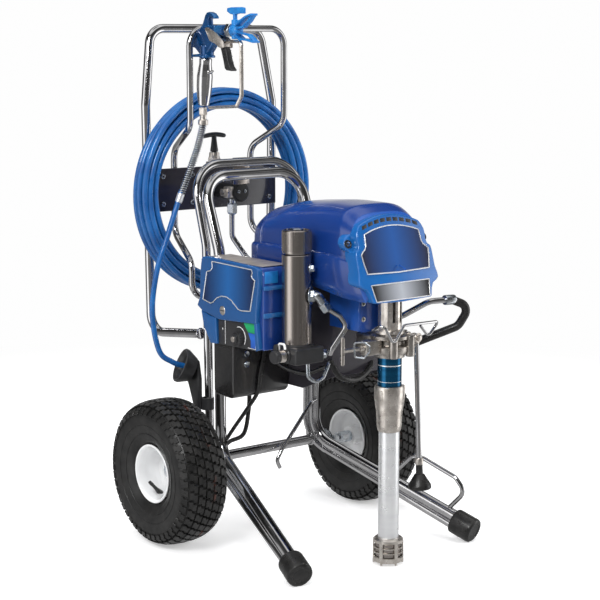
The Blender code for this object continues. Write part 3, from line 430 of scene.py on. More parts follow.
def prism(name, outline, low, high, mat, axis="X", rounding=0.0, segments=2, smooth=30.0):
    """An outline pushed between two planes, with its edges rounded."""
    place = AXES[axis]
    bm = bmesh.new()
    lower = [bm.verts.new(place(a, b, low)) for a, b in outline]
    upper = [bm.verts.new(place(a, b, high)) for a, b in outline]
    bm.faces.new(lower)
    bm.faces.new(upper[::-1])
    for i in range(len(outline)):
        j = (i + 1) % len(outline)
        bm.faces.new((lower[i], lower[j], upper[j], upper[i]))
    bmesh.ops.recalc_face_normals(bm, faces=bm.faces)
    if rounding:
        edges = [e for e in bm.edges if e.calc_face_angle(0) > radians(28)]
        bmesh.ops.bevel(bm, geom=edges, offset=rounding, segments=segments, profile=0.5,
            affect="EDGES", clamp_overlap=True)
    return from_bmesh(name, bm, mat, smooth)


def strap(name, line, thick, low, high, mat, axis="X", rounding=0.0006):
    """A flat strip of even thickness along a line in the plane of its edges."""
    line = [Vector(p) for p in line]
    sides = ([], [])
    for i, point in enumerate(line):
        heading = (line[min(i + 1, len(line) - 1)] - line[max(i - 1, 0)]).normalized()
        across = Vector((-heading.y, heading.x)) * thick / 2
        sides[0].append(tuple(point + across))
        sides[1].append(tuple(point - across))
    return prism(name, sides[0] + sides[1][::-1], low, high, mat, axis, rounding)


def block(name, low, high, mat, rounding=0.001, segments=2):
    outline = [(low[0], low[1]), (high[0], low[1]), (high[0], high[1]), (low[0], high[1])]
    return prism(name, outline, low[2], high[2], mat, "Z", rounding, segments)


def arc(cx, cy, radius, first, last, steps=10):
    """Points of a circular arc, in degrees."""
    return [(cx + radius * cos(radians(a)),
        cy + radius * sin(radians(a))) for a in np.linspace(first, last, steps + 1)]


def merged(name, *objs):
    """Join shapes into one object that keeps all their materials."""
    bm = bmesh.new()
    mats = []
    for obj in objs:
        offset = []
        for mat in obj.data.materials:
            if mat not in mats:
                mats.append(mat)
            offset.append(mats.index(mat))
        start = len(bm.faces)
        bm.from_mesh(obj.data)
        bm.faces.ensure_lookup_table()
        for face in bm.faces[start:]:
            face.material_index = offset[face.material_index]
        bpy.data.objects.remove(obj)
    mesh = bpy.data.meshes.new(name)
    bm.to_mesh(mesh)
    bm.free()
    for mat in mats:
        mesh.materials.append(mat)
    made = bpy.data.objects.new(name, mesh)
    SCENE.collection.objects.link(made)
    return made


def piece(obj, body, slot, *nodes):
    """Hand a finished object to its body, in place of the CAD nodes it stands for."""
    obj.location += ORIGIN
    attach(obj, body)
    if nodes:
        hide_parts(*nodes)
    return obj


def hex_bolt(at, axis, radius, height, mat, washer=True):
    """A hexagon head with a chamfered top, on a washer."""
    parts = []
    base = 0.0
    if washer:
        parts.append(revolve("washer", [(0, 0.0012), (radius * 1.45, 0.0012),
            (radius * 1.5, 0.0008), (radius * 1.5, 0)], mat, at, axis, 24))
        base = 0.0012
    parts.append(revolve("head", [(0, base + height), (radius * 0.82, base + height),
        (radius, base + height * 0.8), (radius, base)], mat, at, axis, 6, smooth=20))
    parts.append(revolve("crown", [(0, base + height * 1.04), (radius * 0.6, base + height * 1.04),
        (radius * 0.72, base + height * 0.98)], mat, at, axis, 20))
    return merged("hex_bolt", *parts)


def socket_bolt(at, axis, radius, height, mat):
    """A round-headed screw with a hexagon socket, whose black lining is painted shade."""
    head = revolve("head", [(radius * 0.45, height * 0.55), (radius * 0.5, height),
        (radius * 0.8, height * 0.97), (radius, height * 0.7), (radius, 0)], mat, at, axis, 20)
    floor = revolve("socket", [(0, height * 0.5), (radius * 0.52, height * 0.5),
        (radius * 0.52, height)], BLACK, at, axis, 6)
    return merged("socket_bolt", head, floor)


# ----------------------------------------------------------------------- cart

KNEE = Vector((0.118, 0.0, 0.156))
TOE = Vector((0.212, -0.366, 0.0314))
LEG_DIR = (TOE - KNEE).normalized()
LEG_DOWN = (Vector((0, 0, -1)) + LEG_DIR * LEG_DIR.z).normalized()


def leg_point(y, above):
    point = KNEE + LEG_DIR * ((y - KNEE.y) / LEG_DIR.y)
    return Vector((point.x, y, point.z + above))


def weld(at, axis, radius):
    """A small uneven ring of weld metal where two tubes meet."""
    turn = Vector(axis).to_track_quat("Z", "Y").to_matrix()
    path = [Vector(at) + turn @ Vector((radius * cos(a), radius * sin(a),
        0)) for a in (2 * pi * k / 28 for k in range(28))]
    radii = [0.0021 + 0.0004 * sin(k * 2.4) for k in range(28)]
    return tube("weld", path, radii, CHROME, 8, closed=True)


def cart():
    hoop = [TOE, KNEE, (0.118, 0.0, 0.55), (0.118, 0.055, 0.6915)]
    piece(tube("front_hoop_tube", filleted(mirrored(hoop), 0.055, 12), 0.011, CHROME, 28), "cart",
        "chrome", "front_hoop")
    toe = TOE + LEG_DOWN * 0.0205
    rear = [toe, (0.122, 0.031, 0.1444), (0.127, 0.031, 0.56), (0.127, 0.0775, 0.713)]
    piece(tube("rear_hoop_tube", filleted(mirrored(rear), 0.065, 12), 0.0085, CHROME, 24), "cart",
        "chrome", "rear_hoop")
    bar = tube("crossbar_tube", mm((-106.7, 0, 148), (106.7, 0, 148)), 0.01, CHROME, 28)
    piece(merged("crossbar_tube", bar, weld((-0.1062, 0, 0.148), (1, 0, 0), 0.0102),
        weld((0.1062, 0, 0.148), (1, 0, 0), 0.0102)), "cart", "chrome", "crossbar")
    handle = mm((134, 40.2, 388), (150, 192, 372), (156, 192, 825), (134, 205, 974))
    parts = [tube("handle", filleted(mirrored(handle), 0.034, 10), 0.009, CHROME, 26)]
    for sign in (-1, 1):
        parts.append(weld((0.1342 * sign, 0.0425, 0.3878), (0.1 * sign, 1, -0.1), 0.0092))
    piece(merged("cart_handle_tube", *parts), "cart", "chrome", "cart_handle")
    foot = (0.011 + 0.003) / cos(pi / 2 - LEG_DIR.angle(Vector((0, 0, -1))))
    bail = [leg_point(-0.186, foot - 0.002), leg_point(-0.232, 0.074), leg_point(-0.256, 0.078),
        leg_point(-0.326, 0.076), leg_point(-0.348, 0.058), leg_point(-0.316, foot - 0.002)]
    piece(tube("leg_bail_rod", filleted(bail, 0.02, 8), 0.0045, CHROME, 16), "cart", "chrome",
        "leg_bail")
    brace = mm((106.5, -16, 232), (92, -20, 230), (16, -20, 143), (4, -20, 124), (12, -20, 108))
    piece(tube("brace_rod_wire", filleted(brace, 0.012, 6), 0.004, CHROME, 14), "cart", "chrome",
        "brace_rod")


def foot_caps():
    for side, sign in (("left", -1), ("right", 1)):
        end = TOE + LEG_DOWN * 0.009 + LEG_DIR * 0.0063
        end = Vector((end.x * sign, end.y, end.z))
        direction = Vector((LEG_DIR.x * sign, LEG_DIR.y, LEG_DIR.z))
        profile = mm((0, -1.2), (15, -1.2), (16.5, 0), (20.5, 0), (23.6, -2.2), (24.5, -6),
            (24.3, -43), (23.8, -46), (21, -46.2), (20.3, -44), (20.3, -12))
        cap = revolve("foot_cap_" + side + "_rubber", profile, RUBBER, end, direction, 48,
            soft=0.0012)
        for vert in cap.data.vertices:
            vert.co.z = max(vert.co.z, 0.0)
        piece(cap, "cart", "black_rubber", "foot_cap_" + side)


# --------------------------------------------------------------------- wheels

WHEEL_X, WHEEL_Z = 0.2415, 0.14
# Half of the tyre's section, (across, radius), from the crown down to the bead
CARCASS = [(0.0, 0.1348), (0.015, 0.1344), (0.028, 0.1326), (0.038, 0.129), (0.0455, 0.1225),
    (0.049, 0.113), (0.0492, 0.102), (0.0478, 0.088), (0.0445, 0.074), (0.04, 0.064),
    (0.035, 0.0575), (0.03, 0.0535)]


def carcass_point(across):
    """Radius and outward normal of the carcass at a distance along its section."""
    sign = -1 if across < 0 else 1
    left = abs(across)
    for (x0, r0), (x1, r1) in zip(CARCASS, CARCASS[1:]):
        step = ((x1 - x0) ** 2 + (r1 - r0) ** 2) ** 0.5
        if left <= step:
            share = left / step
            normal = Vector((-(r1 - r0), x1 - x0)).normalized()
            return (sign * (x0 + (x1 - x0) * share), r0 + (r1 - r0) * share,
                Vector((sign * normal.x, normal.y)))
        left -= step
    return sign * x1, r1, Vector((sign, 0))


def tread_blocks(centre_x):
    """Rows of stepped blocks round the tyre, and lugs over its shoulders."""
    bm = bmesh.new()
    pitches = 46
    rows = mm((-33, 7), (-16.5, 7), (0, 7), (16.5, 7), (33, 7), (-50, 7.4), (50, 7.4))
    for row, (middle, half) in enumerate(rows):
        lug = abs(middle) > 0.04
        for k in range(pitches):
            around = 2 * pi * (k + (0.5 if row % 2 else 0.0)) / pitches
            span = 2 * pi / pitches * (0.33 if lug else 0.37)
            step = span * 0.7
            shape = mm((-1000, -1000, 0), (-150, -1000, 0), (150, -1000, 1000),
                (1000, -1000, 1000), (1000, 1000, 1000), (150, 1000, 1000), (-150, 1000, 0),
                (-1000, 1000, 0))
            height = 0.003 if lug else 0.0048
            rims = []
            for scale, lift in ((1.06, -0.0015), (1.0, height - 0.0008), (0.9, height)):
                ring = []
                for u, v, shifted in shape:
                    x, r, normal = carcass_point(middle + half * u * scale)
                    angle = around + span * v * scale + (step if shifted else -step) * 0.5
                    radius = r + normal.y * lift
                    ring.append(bm.verts.new((centre_x + x + normal.x * lift, radius * cos(angle),
                        WHEEL_Z + radius * sin(angle))))
                rims.append(ring)
            for first, second in zip(rims, rims[1:]):
                for i in range(8):
                    j = (i + 1) % 8
                    bm.faces.new((first[i], first[j], second[j], second[i]))
            bm.faces.new(rims[-1])
    return from_bmesh("tread", bm, TREAD, 25)


def wheels():
    for side, sign in (("left", -1), ("right", 1)):
        body = side + "_wheel"
        centre = (WHEEL_X * sign, 0, WHEEL_Z)
        out = (sign, 0, 0)
        path = spline([(r, 0, x) for x, r in CARCASS], 44)
        profile = [(p.x, p.z) for p in path]
        profile = [(r, -x) for r, x in reversed(profile)][:-1] + profile
        carcass = revolve("carcass", profile, TYRE, centre, out, 96, smooth=60)
        rings = [revolve("bead_line", [(r - 0.0009, 0.0), (r - 0.0004, 0.0009),
            (r + 0.0004, 0.0009), (r + 0.0009, 0.0)], TYRE, (centre[0] + sign * x, 0, WHEEL_Z),
            (sign * face, 0, 0), 96) for r, x, face in ((0.0775, 0.0455, 1), (0.094, 0.0484, 1),
            (0.0775, -0.0455, -1), (0.094, -0.0484, -1))]
        tyre = merged("tyre_" + side + "_tread", carcass, tread_blocks(centre[0]), *rings)
        piece(tyre, body, "tyre", "tyre_" + side)
        rim = revolve("rim", mm((51, 30), (52.5, 35), (56, 36.8), (56.8, 38.4), (55.2, 39.8),
            (52.5, 39.2), (50, 34), (48, 22), (47.4, 0), (46, -8), (40, -12.2), (21.5, -11),
            (19, -10), (19, -3.6), (17.5, -2), (8.6, -2), (8.6, -33), (18, -33), (19, -32),
            (19, -17), (22, -15), (40, -15.6), (46, -17.5), (48, -22), (50, -34), (52.5, -39.2),
            (55.2, -39.8), (56.8, -38.4), (56, -36.8), (52.5, -35), (51, -30)), WHITE, centre, out,
            72, soft=0.0012)
        stem = Vector((0.7 * sign, -0.19, 0.68)).normalized()
        base = Vector((centre[0] + sign * 0.0105, 0.016, WHEEL_Z - 0.0445))
        valve = revolve("valve", mm((0, 39), (3.2, 38.5), (3.6, 29), (3, 28), (3.8, 11), (5.5, 2),
            (6.2, -3)), RUBBER, base, stem, 20)
        piece(merged("rim_" + side + "_steel", rim, valve), body, "white_enamel", "rim_" + side)
        nut = merged("axle_" + side + "_nut", tube("stub", [(centre[0] - sign * 0.097, 0, WHEEL_Z),
            (centre[0] + sign * 0.004, 0, WHEEL_Z)], 0.008, ZINC, 24),
            hex_bolt((centre[0] - sign * 0.0017, 0, WHEEL_Z), out, 0.0115, 0.0055, ZINC),
            revolve("flange", mm((0, 4.2), (24, 4.2), (25.8, 3), (25.8, 0.2), (0, 0.2)), ZINC,
            (0.143 * sign, 0, WHEEL_Z), out, 40), revolve("collar", mm((8.1, 29), (11.8, 29),
            (11.8, 0), (8.1, 0)), ZINC, (0.179 * sign, 0, WHEEL_Z), out, 32))
        piece(nut, "cart", "nickel", "axle_" + side)


# ------------------------------------------------------------------ hose reel

REEL_Z = 0.652


def reel():
    half = mm((115, 97.5, 322), (115, 97.5, 133), (95, 185, 83), (95, 185, -83), (115, 97.5, -133),
        (115, 97.5, -205))
    top = Vector((0, 0.0975, 0.322))
    path = filleted([top, *mirrored(half), top], 0.034, 10)[:-1]
    loop = tube("loop", [p + Vector((0, 0, REEL_Z)) for p in path], 0.0065, CHROME, 22,
        closed=True)
    piece(merged("reel_loop", loop), "hose_reel", "chrome", "reel_frame")
    plate = mm((-150, 615), (150, 615), (150, 700), (-150, 700))
    sheet = prism("sheet", plate, 0.1702, 0.1764, DARK, "Y", 0.0022, 3)
    ears = block("ears", (-0.014, 0.1702, 0.696), (0.014, 0.19, 0.708), DARK)
    sleeve = revolve("sleeve", mm((0, 704), (11.2, 704), (11.2, 718), (10.5, 719), (10.5, 725),
        (9.8, 726.8), (6, 726.8))[::-1], NICKEL, (0, 0.18, 0), steps=36)
    nut = revolve("nut", mm((6, 708), (13.8, 708), (13.8, 715), (12, 716.2), (6, 716.2))[::-1],
        NICKEL, (0, 0.18, 0), steps=6, smooth=20)
    bolts = [socket_bolt((x, 0.17, z), (0, -1, 0), 0.005, 0.0028,
        ZINC) for x in (-0.132, -0.062, 0.062, 0.132) for z in (0.63, 0.685)]
    piece(merged("reel_cross_plate", sheet, ears, sleeve, nut, *bolts), "hose_reel", "dark_enamel",
        "reel_plate")
    stem = revolve("stem", mm((0, 37), (4.8, 36.5), (5.2, 26), (6.8, 12), (8.2, 3), (7.8, 0.6),
        (5, 0.4), (4.8, -20), (0, -20)), BLACK, (0, 0.18, 0.7275), steps=28)
    bar = [(x, 0.18,
        0.7612 + 0.0035 * cos(x * 55) - 0.002) for x in np.linspace(-0.029, 0.029, 21)]
    grip = [0.0048 - 0.0016 * abs(x[0] / 0.029) ** 6 for x in bar]
    grip[0] = grip[-1] = 0.0012
    piece(merged("lock_handle", stem, tube("bar", bar, grip, BLACK, 16)), "reel_lock",
        "black_plastic", "lock_plunger")


def hose_coil():
    """The turns of hose, each a slightly wandering ring inside the coil's outline."""
    strands = []
    seats = mm((-13.5, -14), (-0.5, -15.2), (12.8, -14), (-13.8, -1), (0, -1.2), (13.8, -0.8),
        (-13, 12.5), (0.6, 14), (13, 12.8))
    for index, (out, deep) in enumerate(seats):
        phase = index * 1.7
        path = []
        for k in range(112):
            a = 2 * pi * k / 112
            wander = 0.0013 * sin(a * 2 + phase) + 0.0008 * sin(a * 3 + phase * 2.1)
            drift = 0.0013 * cos(a * 2 + phase * 1.3) + 0.0006 * sin(a * 5 + phase)
            r = 0.1875 + out + wander
            path.append((r * cos(a), 0.147 + deep + drift, REEL_Z + r * sin(a)))
        strands.append(tube("strand", path, 0.0061, HOSE, 14, closed=True))
    piece(merged("hose_turns", *strands), "hose_reel", "hose_blue", "hose_coil")


def reel_hub():
    """Black swivel with its bolts, blocks and feed pipe, under the arch."""
    body = revolve("hub", mm((0, 86.8), (16, 86.8), (19.2, 89), (19.5, 102), (18, 103),
        (15, 103.5), (15, 165), (7.8, 166), (7.8, 189), (0, 190))[::-1], BLACK, (0, 0, REEL_Z),
        (0, 1, 0), 48, soft=0.0006)
    saddle = block("strap", (-0.02, 0.0866, 0.668), (0.02, 0.0914, 0.7215), STEEL, 0.0015)
    cheek = block("cheek", (-0.03, 0.0916, 0.642), (-0.012, 0.109, 0.664), NICKEL, 0.002)
    knob = revolve("cheek_nut", mm((0, 10), (7, 10), (8, 8), (8, 0)), NICKEL, (-0.03, 0.1, 0.653),
        (-1, 0, 0), 6, smooth=20)
    bolts = [socket_bolt((x, 0.0868, REEL_Z + z), (0, -1, 0), 0.0034, 0.002, ZINC) for x,
        z in ((-0.008, 0.002), (0.008, 0.002))]
    bolts += [socket_bolt((x, 0.0868, 0.709), (0, -1, 0), 0.0044, 0.0026,
        ZINC) for x in (-0.012, 0.012)]
    piece(merged("reel_swivel", body, saddle, cheek, knob, *bolts), "cart", "steel", "reel_hub")
    top = REEL_Z - 0.0155
    run = filleted([(0, 0.12, top - 0.02), (0, 0.12, 0.56), (0.02, 0.095, 0.515),
        (0.03, 0.02, 0.5), (0.03, -0.006, 0.47)], 0.022, 6)
    nut = revolve("nut", mm((5, 0), (6.6, 0), (6.6, -7.5), (10, -8.5), (11, -10.5), (11, -27),
        (10, -29), (5.7, -32)), ZINC, (0, 0.12, top), steps=6, smooth=20)
    collar = revolve("collar", mm((5, 0), (7.5, 0), (7.5, -9.5), (5, -10)), ZINC, (0, 0.12, top),
        steps=28)
    piece(merged("feed_line", tube("run", run, 0.0056, CHROME, 16), nut, collar), "cart", "chrome",
        "feed_pipe")


def hose_guide():
    ring = revolve("ring", mm((30, 10), (32.5, 11.2), (34, 9.5), (33.8, 4), (24, -16),
        (20.5, -16.5), (20.2, -8), (23.5, 2), (30, 10)), BLACK, (-0.158, 0.062, 0.322),
        (-0.85, 0.35, 0.4), 48)
    throat = revolve("throat", mm((20, -10), (12, -8), (6.2, -6.2)), BLACK, (-0.158, 0.062, 0.322),
        (-0.85, 0.35, 0.4), 32)
    arm = prism("arm", mm((33, 238), (52, 238), (70, 282), (86, 312), (86, 340), (64, 346),
        (40, 334), (33, 300)), -0.146, -0.137, BLACK, "X", 0.0035, 3)
    clamp = revolve("clamp", mm((8.8, 262), (12.8, 261.5), (12.8, 238.5), (8.8, 238)), BLACK,
        (-0.127, 0.031, 0), steps=32)
    piece(merged("hose_guide_funnel", ring, throat, arm, clamp), "cart", "black_plastic",
        "hose_guide")


# ------------------------------------------------------------------ spray gun

GUN_X, BARREL_Z = -0.092, 0.97


def gun():
    g = GUN_X
    casting = mm((62, 926), (85, 924), (101, 936), (115, 939), (119, 944), (120, 955),
        (113, 960.5), (98, 964), (89, 969), (80, 979), (34.5, 980), (34.5, 960.5), (43, 944),
        (53, 934))
    body = prism("casting", casting, g - 0.009, g + 0.009, GUN_BLUE, "X", 0.0034, 4)
    horn = mm((86, 970), (78, 983), (73, 992), (69.5, 999), (64, 1004), (56, 1005), (47, 1002),
        (40, 996), (38.5, 992.5), (42, 991.5), (49, 995), (56, 995), (59, 990), (58, 980),
        (56, 970))
    hook = prism("horn", horn, g - 0.0062, g + 0.0062, GUN_BLUE, "X", 0.0024, 3)
    boss = revolve("boss", mm((0, 942), (12.5, 942), (13.2, 940), (13.2, 923.5), (15.8, 922.2),
        (15.8, 918.2), (0, 917.8))[::-1], GUN_BLUE, (g, 0.072, 0), steps=36, soft=0.0008)
    spur = prism("rear_spur", mm((80, 919.5), (115, 919), (118, 921.5), (115, 924), (80, 926)),
        g - 0.009, g + 0.009, GUN_BLUE, "X", 0.0014)
    barrel = revolve("barrel", mm((0, 0.5), (8.5, 0.5), (9.2, 2), (9.2, 12), (10.5, 14),
        (10.5, 33), (0, 35)), GUN_BLUE, (g, 0, BARREL_Z), (0, 1, 0), 36)
    pin = revolve("pin", mm((0, 21.8), (3.6, 21.6), (4.4, 20.6), (4.4, 0), (0, 0)), ZINC,
        (g - 0.0109, 0.045, 0.962), (1, 0, 0), 20)
    piece(merged("gun_casting", body, hook, boss, spur, barrel, pin), "hose_reel", "blue_enamel",
        "gun_body")

    lean = Vector((0, 0.1, -1.0)).normalized()
    grip = revolve("grip", mm((0, 0.5), (11.8, 0.5), (12.5, 4), (12.2, 12), (14, 24), (15.5, 36),
        (15.2, 56), (13.8, 72), (11.8, 86), (11, 91.5), (7, 93), (0, 93)), CHROME,
        (g, 0.0765, 0.9182), lean, 40, soft=0.002)
    rib = tube("grip_spur", [(g, 0.066, 0.89), (g, 0.06, 0.8905), (g, 0.0525, 0.893)],
        [0.0042, 0.0034, 0.0016], CHROME, 14)
    piece(merged("gun_grip", grip, rib), "hose_reel", "chrome", "gun_handle")

    blade = prism("blade", mm((24, 948), (10, 947), (1, 930), (-3, 916), (-9, 903), (-17, 896),
        (-15, 894), (2, 895.5), (6.5, 899), (10.5, 913), (16, 929)), g - 0.0065, g + 0.0065, BLACK,
        "X", 0.0024, 3)
    ribs = [block("rib", (g - 0.0069, 0.002 - k * 0.0038, 0.932 - k * 0.011), (g + 0.0069,
        0.012 - k * 0.003, 0.9335 - k * 0.011), BLACK, 0.0004) for k in range(3)]
    plate = mm((64, 973), (58, 976), (50, 975), (24, 964), (4, 950), (2, 938), (9, 936.5),
        (18, 938), (30, 945), (48, 950))
    sides = [prism("plate", plate, g + a, g + b, NICKEL, "X", 0.0007) for a,
        b in ((0.0096, 0.0114), (-0.0114, -0.0096))]
    bridge = block("bridge", (g - 0.011, 0.006, 0.938), (g + 0.011, 0.016, 0.946), NICKEL, 0.001)
    piece(merged("gun_trigger_blade", blade, bridge, *ribs, *sides), "trigger", "black_plastic",
        "gun_trigger")

    guard = mm((34, 949.5), (-38.8, 949.5), (-38.8, 848), (-23, 828), (67, 822.5))
    path = filleted([(g, y, z) for y, z in guard], 0.009, 6)
    bar = tube("guard", path, 0.004, NICKEL, 12, flat=0.55)
    piece(merged("gun_guard", bar), "hose_reel", "steel", "trigger_guard")


def gun_tip():
    g = GUN_X
    z = BARREL_Z
    nut = revolve("nut", mm((9, -1.2), (12.5, -1.2), (13.8, 0.6), (13.8, 10), (12.5, 11.6),
        (9, 11.6)), ZINC, (g, 0, z), (0, -1, 0), 6, smooth=20)
    knurl = revolve("collar", mm((9, 11), (12.2, 11.5), (12.6, 14), (10, 15)), ZINC, (g, 0, z),
        (0, -1, 0), 36)
    housing = revolve("housing", mm((0, 14), (10.8, 14), (11.6, 15.5), (11.6, 28), (9, 33),
        (0, 34)), LIGHT_BLUE, (g, 0, z), (0, -1, 0), 36, soft=0.0008)
    wings = []
    for sign, reach, drop in ((1, 0.079, 0.029), (-1, 0.085, 0.0215)):
        outer = [(-0.028, z + sign * 0.0085), (-0.042, z + sign * 0.0165), (-0.062,
            z + sign * (drop - 0.004)), (-reach, z + sign * drop)]
        inner = [(-0.03, z + sign * 0.003), (-0.048, z + sign * 0.006), (-0.066,
            z + sign * (drop - 0.0125)), (-reach, z + sign * drop)]
        wings.append(strap("wing", outer, 0.0038, g - 0.0085, g + 0.0085, LIGHT_BLUE))
        wings.append(strap("wing", inner, 0.0032, g - 0.006, g + 0.006, LIGHT_BLUE))
    piece(merged("gun_tip_guard", nut, knurl, housing, *wings), "hose_reel", "light_blue",
        "tip_guard")
    stem = revolve("stem", mm((0, 32), (4.2, 32), (4.2, 20), (7.2, 19), (7.2, -15), (6, -16.5),
        (0, -16.5)), LIGHT_BLUE, (g, -0.02, z), steps=28, soft=0.0006)
    flag = prism("flag", mm((-50, 1000.5), (-50, 1011.5), (-42, 1012.8), (-10, 1012.8),
        (2, 1011.5), (2.8, 1005), (-8, 1000), (-16, 999), (-24, 999), (-35, 1001)), g - 0.0032,
        g + 0.0032, LIGHT_BLUE, "X", 0.0014, 3)
    piece(merged("gun_tip_flag", stem, flag), "tip", "light_blue", "spray_tip")


def gun_hose():
    foot = Vector((GUN_X, 0.0873, 0.8227))
    swivel = revolve("swivel", mm((0, 0), (7.5, 0), (8.8, -1.5), (8.8, -13.5), (6.6, -15),
        (6.2, -21.5), (0, -21.5)), NICKEL, foot, steps=6, smooth=20)
    collar = revolve("collar", mm((0, -15), (6.4, -15), (6.4, -23), (9.8, -24.5), (9.8, -33),
        (8, -34.5), (0, -34.5)), NICKEL, foot, steps=32, soft=0.0005)
    piece(merged("gun_swivel", swivel, collar), "hose_reel", "nickel", "hose_swivel")
    start = foot - Vector((0, 0, 0.0335))
    end = Vector((-0.137, 0.1, 0.656))
    line = spline([start, start.lerp(end, 0.33) + Vector((0.004, 0, 0)),
        start.lerp(end, 0.66) + Vector((0.003, 0, 0)), end], 60)
    turns, per = 34, 12
    helix = []
    for k in range(turns * per + 1):
        place = k / (turns * per) * 60
        i = min(int(place), 59)
        point = line[i].lerp(line[i + 1], place - i)
        tangent = (line[i + 1] - line[i]).normalized()
        normal = tangent.orthogonal().normalized()
        a = 2 * pi * k / per
        helix.append(point + (normal * cos(a) + tangent.cross(normal) * sin(a)) * 0.0062)
    spring = tube("spring", helix, 0.0013, ZINC, 6)
    core = tube("core", line, 0.005, DARK, 12)
    piece(merged("gun_spring_guard", spring, core), "hose_reel", "steel", "spring_guard")
    corners = [end + Vector((0.001, 0, 0.006)), (-0.169, 0.1, 0.578), (-0.195, 0.1, 0.512),
        (-0.209, 0.098, 0.43), (-0.203, 0.085, 0.356), (-0.182, 0.071, 0.333),
        (-0.16, 0.063, 0.3235)]
    sleeve = revolve("sleeve", mm((5, 0), (7.2, 0), (7.2, -16), (6, -18)), ALUMINIUM, end,
        end - Vector((-0.169, 0.1, 0.578)), 24)
    sleeve.name = "whip_ferrule"
    piece(sleeve, "hose_reel", "steel")
    hose = tube("gun_whip_hose", spline(corners, 70), 0.0054, HOSE, 14)
    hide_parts("whip_hose")
    hose.location += ORIGIN
    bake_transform(hose)


# ---------------------------------------------------------------- motor cover

def cover_profile(half, top, shoulder, low, tuck, crease):
    """Left half of a cover section, from its lower edge to the middle of the top."""
    inset = 0.0075
    points = [(half * tuck, low), (half * (tuck + 1) / 2, low + 0.016), (half, low + 0.034),
        (half, crease - 0.004), (half - 0.0014, crease), (half - inset + 0.001, crease + 0.003),
        (half - inset, crease + 0.007)]
    upper = half - inset
    for angle in np.linspace(0, 90, 13):
        a = radians(angle)
        points.append((upper * max(cos(a), 0.0) ** 0.62,
            shoulder + (top - shoulder) * sin(a) ** 0.92))
    return points


def cover_body():
    """Smooth shell of the cover, lofted between listed stations."""
    stations = mm((-380, 86, 648, 608, 496, 900, 300, 565), (-366, 90, 657, 609, 497, 910, 280,
        568), (-335, 95, 662, 608, 500, 930, 140, 572), (-240, 95.5, 662.5, 602, 515, 990, 0, 574),
        (-140, 95, 654.5, 596, 516, 1000, 0, 574), (-85, 92, 641, 590, 516, 1000, 0, 573), (-56,
        84, 623, 584, 516, 1000, 0, 571), (-46, 74, 605, 580, 517, 1000, 0, 569))
    values = [np.array([v[k] for v in stations]) for k in range(8)]
    places = np.linspace(0, 7, 57)
    rows = []
    for place in places:
        y, half, top, shoulder, low, tuck, lean, crease = [np.interp(place, range(8), v)
                                                           for v in values]
        side = cover_profile(half, top, shoulder, low, tuck, crease)
        full = [(-x, z) for x, z in side] + [(x, z) for x, z in reversed(side[:-1])]
        rows.append([(x, y + lean * (z - 0.505), z) for x, z in full])
    ease = np.array([[list(p) for p in row] for row in rows])
    for _ in range(2):
        ease[1:-1] = ease[1:-1] * 0.5 + (ease[:-2] + ease[2:]) * 0.25
    shell = from_grid("shell", ease.tolist(), SHELL, smooth=40)
    back = rows[-1]
    inner = [(x * 0.93, y + 0.004, 0.517 + (z - 0.517) * 0.93) for x, y, z in back]
    deep = [(x * 0.1, y + 0.005, 0.517 + (z - 0.517) * 0.1) for x, y, z in back]
    end = from_grid("end", [back, inner, deep], SHELL, smooth=50)
    front = rows[0]
    face = from_grid("face", [front, [(x * 0.05, y, 0.56 + (z - 0.56) * 0.05) for x, y,
        z in front]], SHELL)
    joined = merged("cover_shell", shell, end, face)
    wall = joined.modifiers.new("wall", "SOLIDIFY")
    wall.thickness = 0.0025
    wall.offset = -1.0
    return joined


def side_pair(half):
    """An outline's right half, completed with its mirror image."""
    return half + [(-x, z) for x, z in reversed(half) if abs(x) > 1e-6]


def outline_bar(name, outline, depth, radius, mat, closed=True):
    """A thin raised line along an outline on the cover's front."""
    path = [front_plane(x, z, depth) for x, z in outline]
    return tube(name, path, radius, mat, 8, closed=closed)


def dense(outline, step=0.004):
    """More points along a closed outline, so a line along it keeps its corners."""
    made = []
    for (x0, z0), (x1, z1) in zip(outline, outline[1:] + outline[:1]):
        count = max(1, int(((x1 - x0) ** 2 + (z1 - z0) ** 2) ** 0.5 / step))
        made += [(x0 + (x1 - x0) * k / count, z0 + (z1 - z0) * k / count) for k in range(count)]
    return made


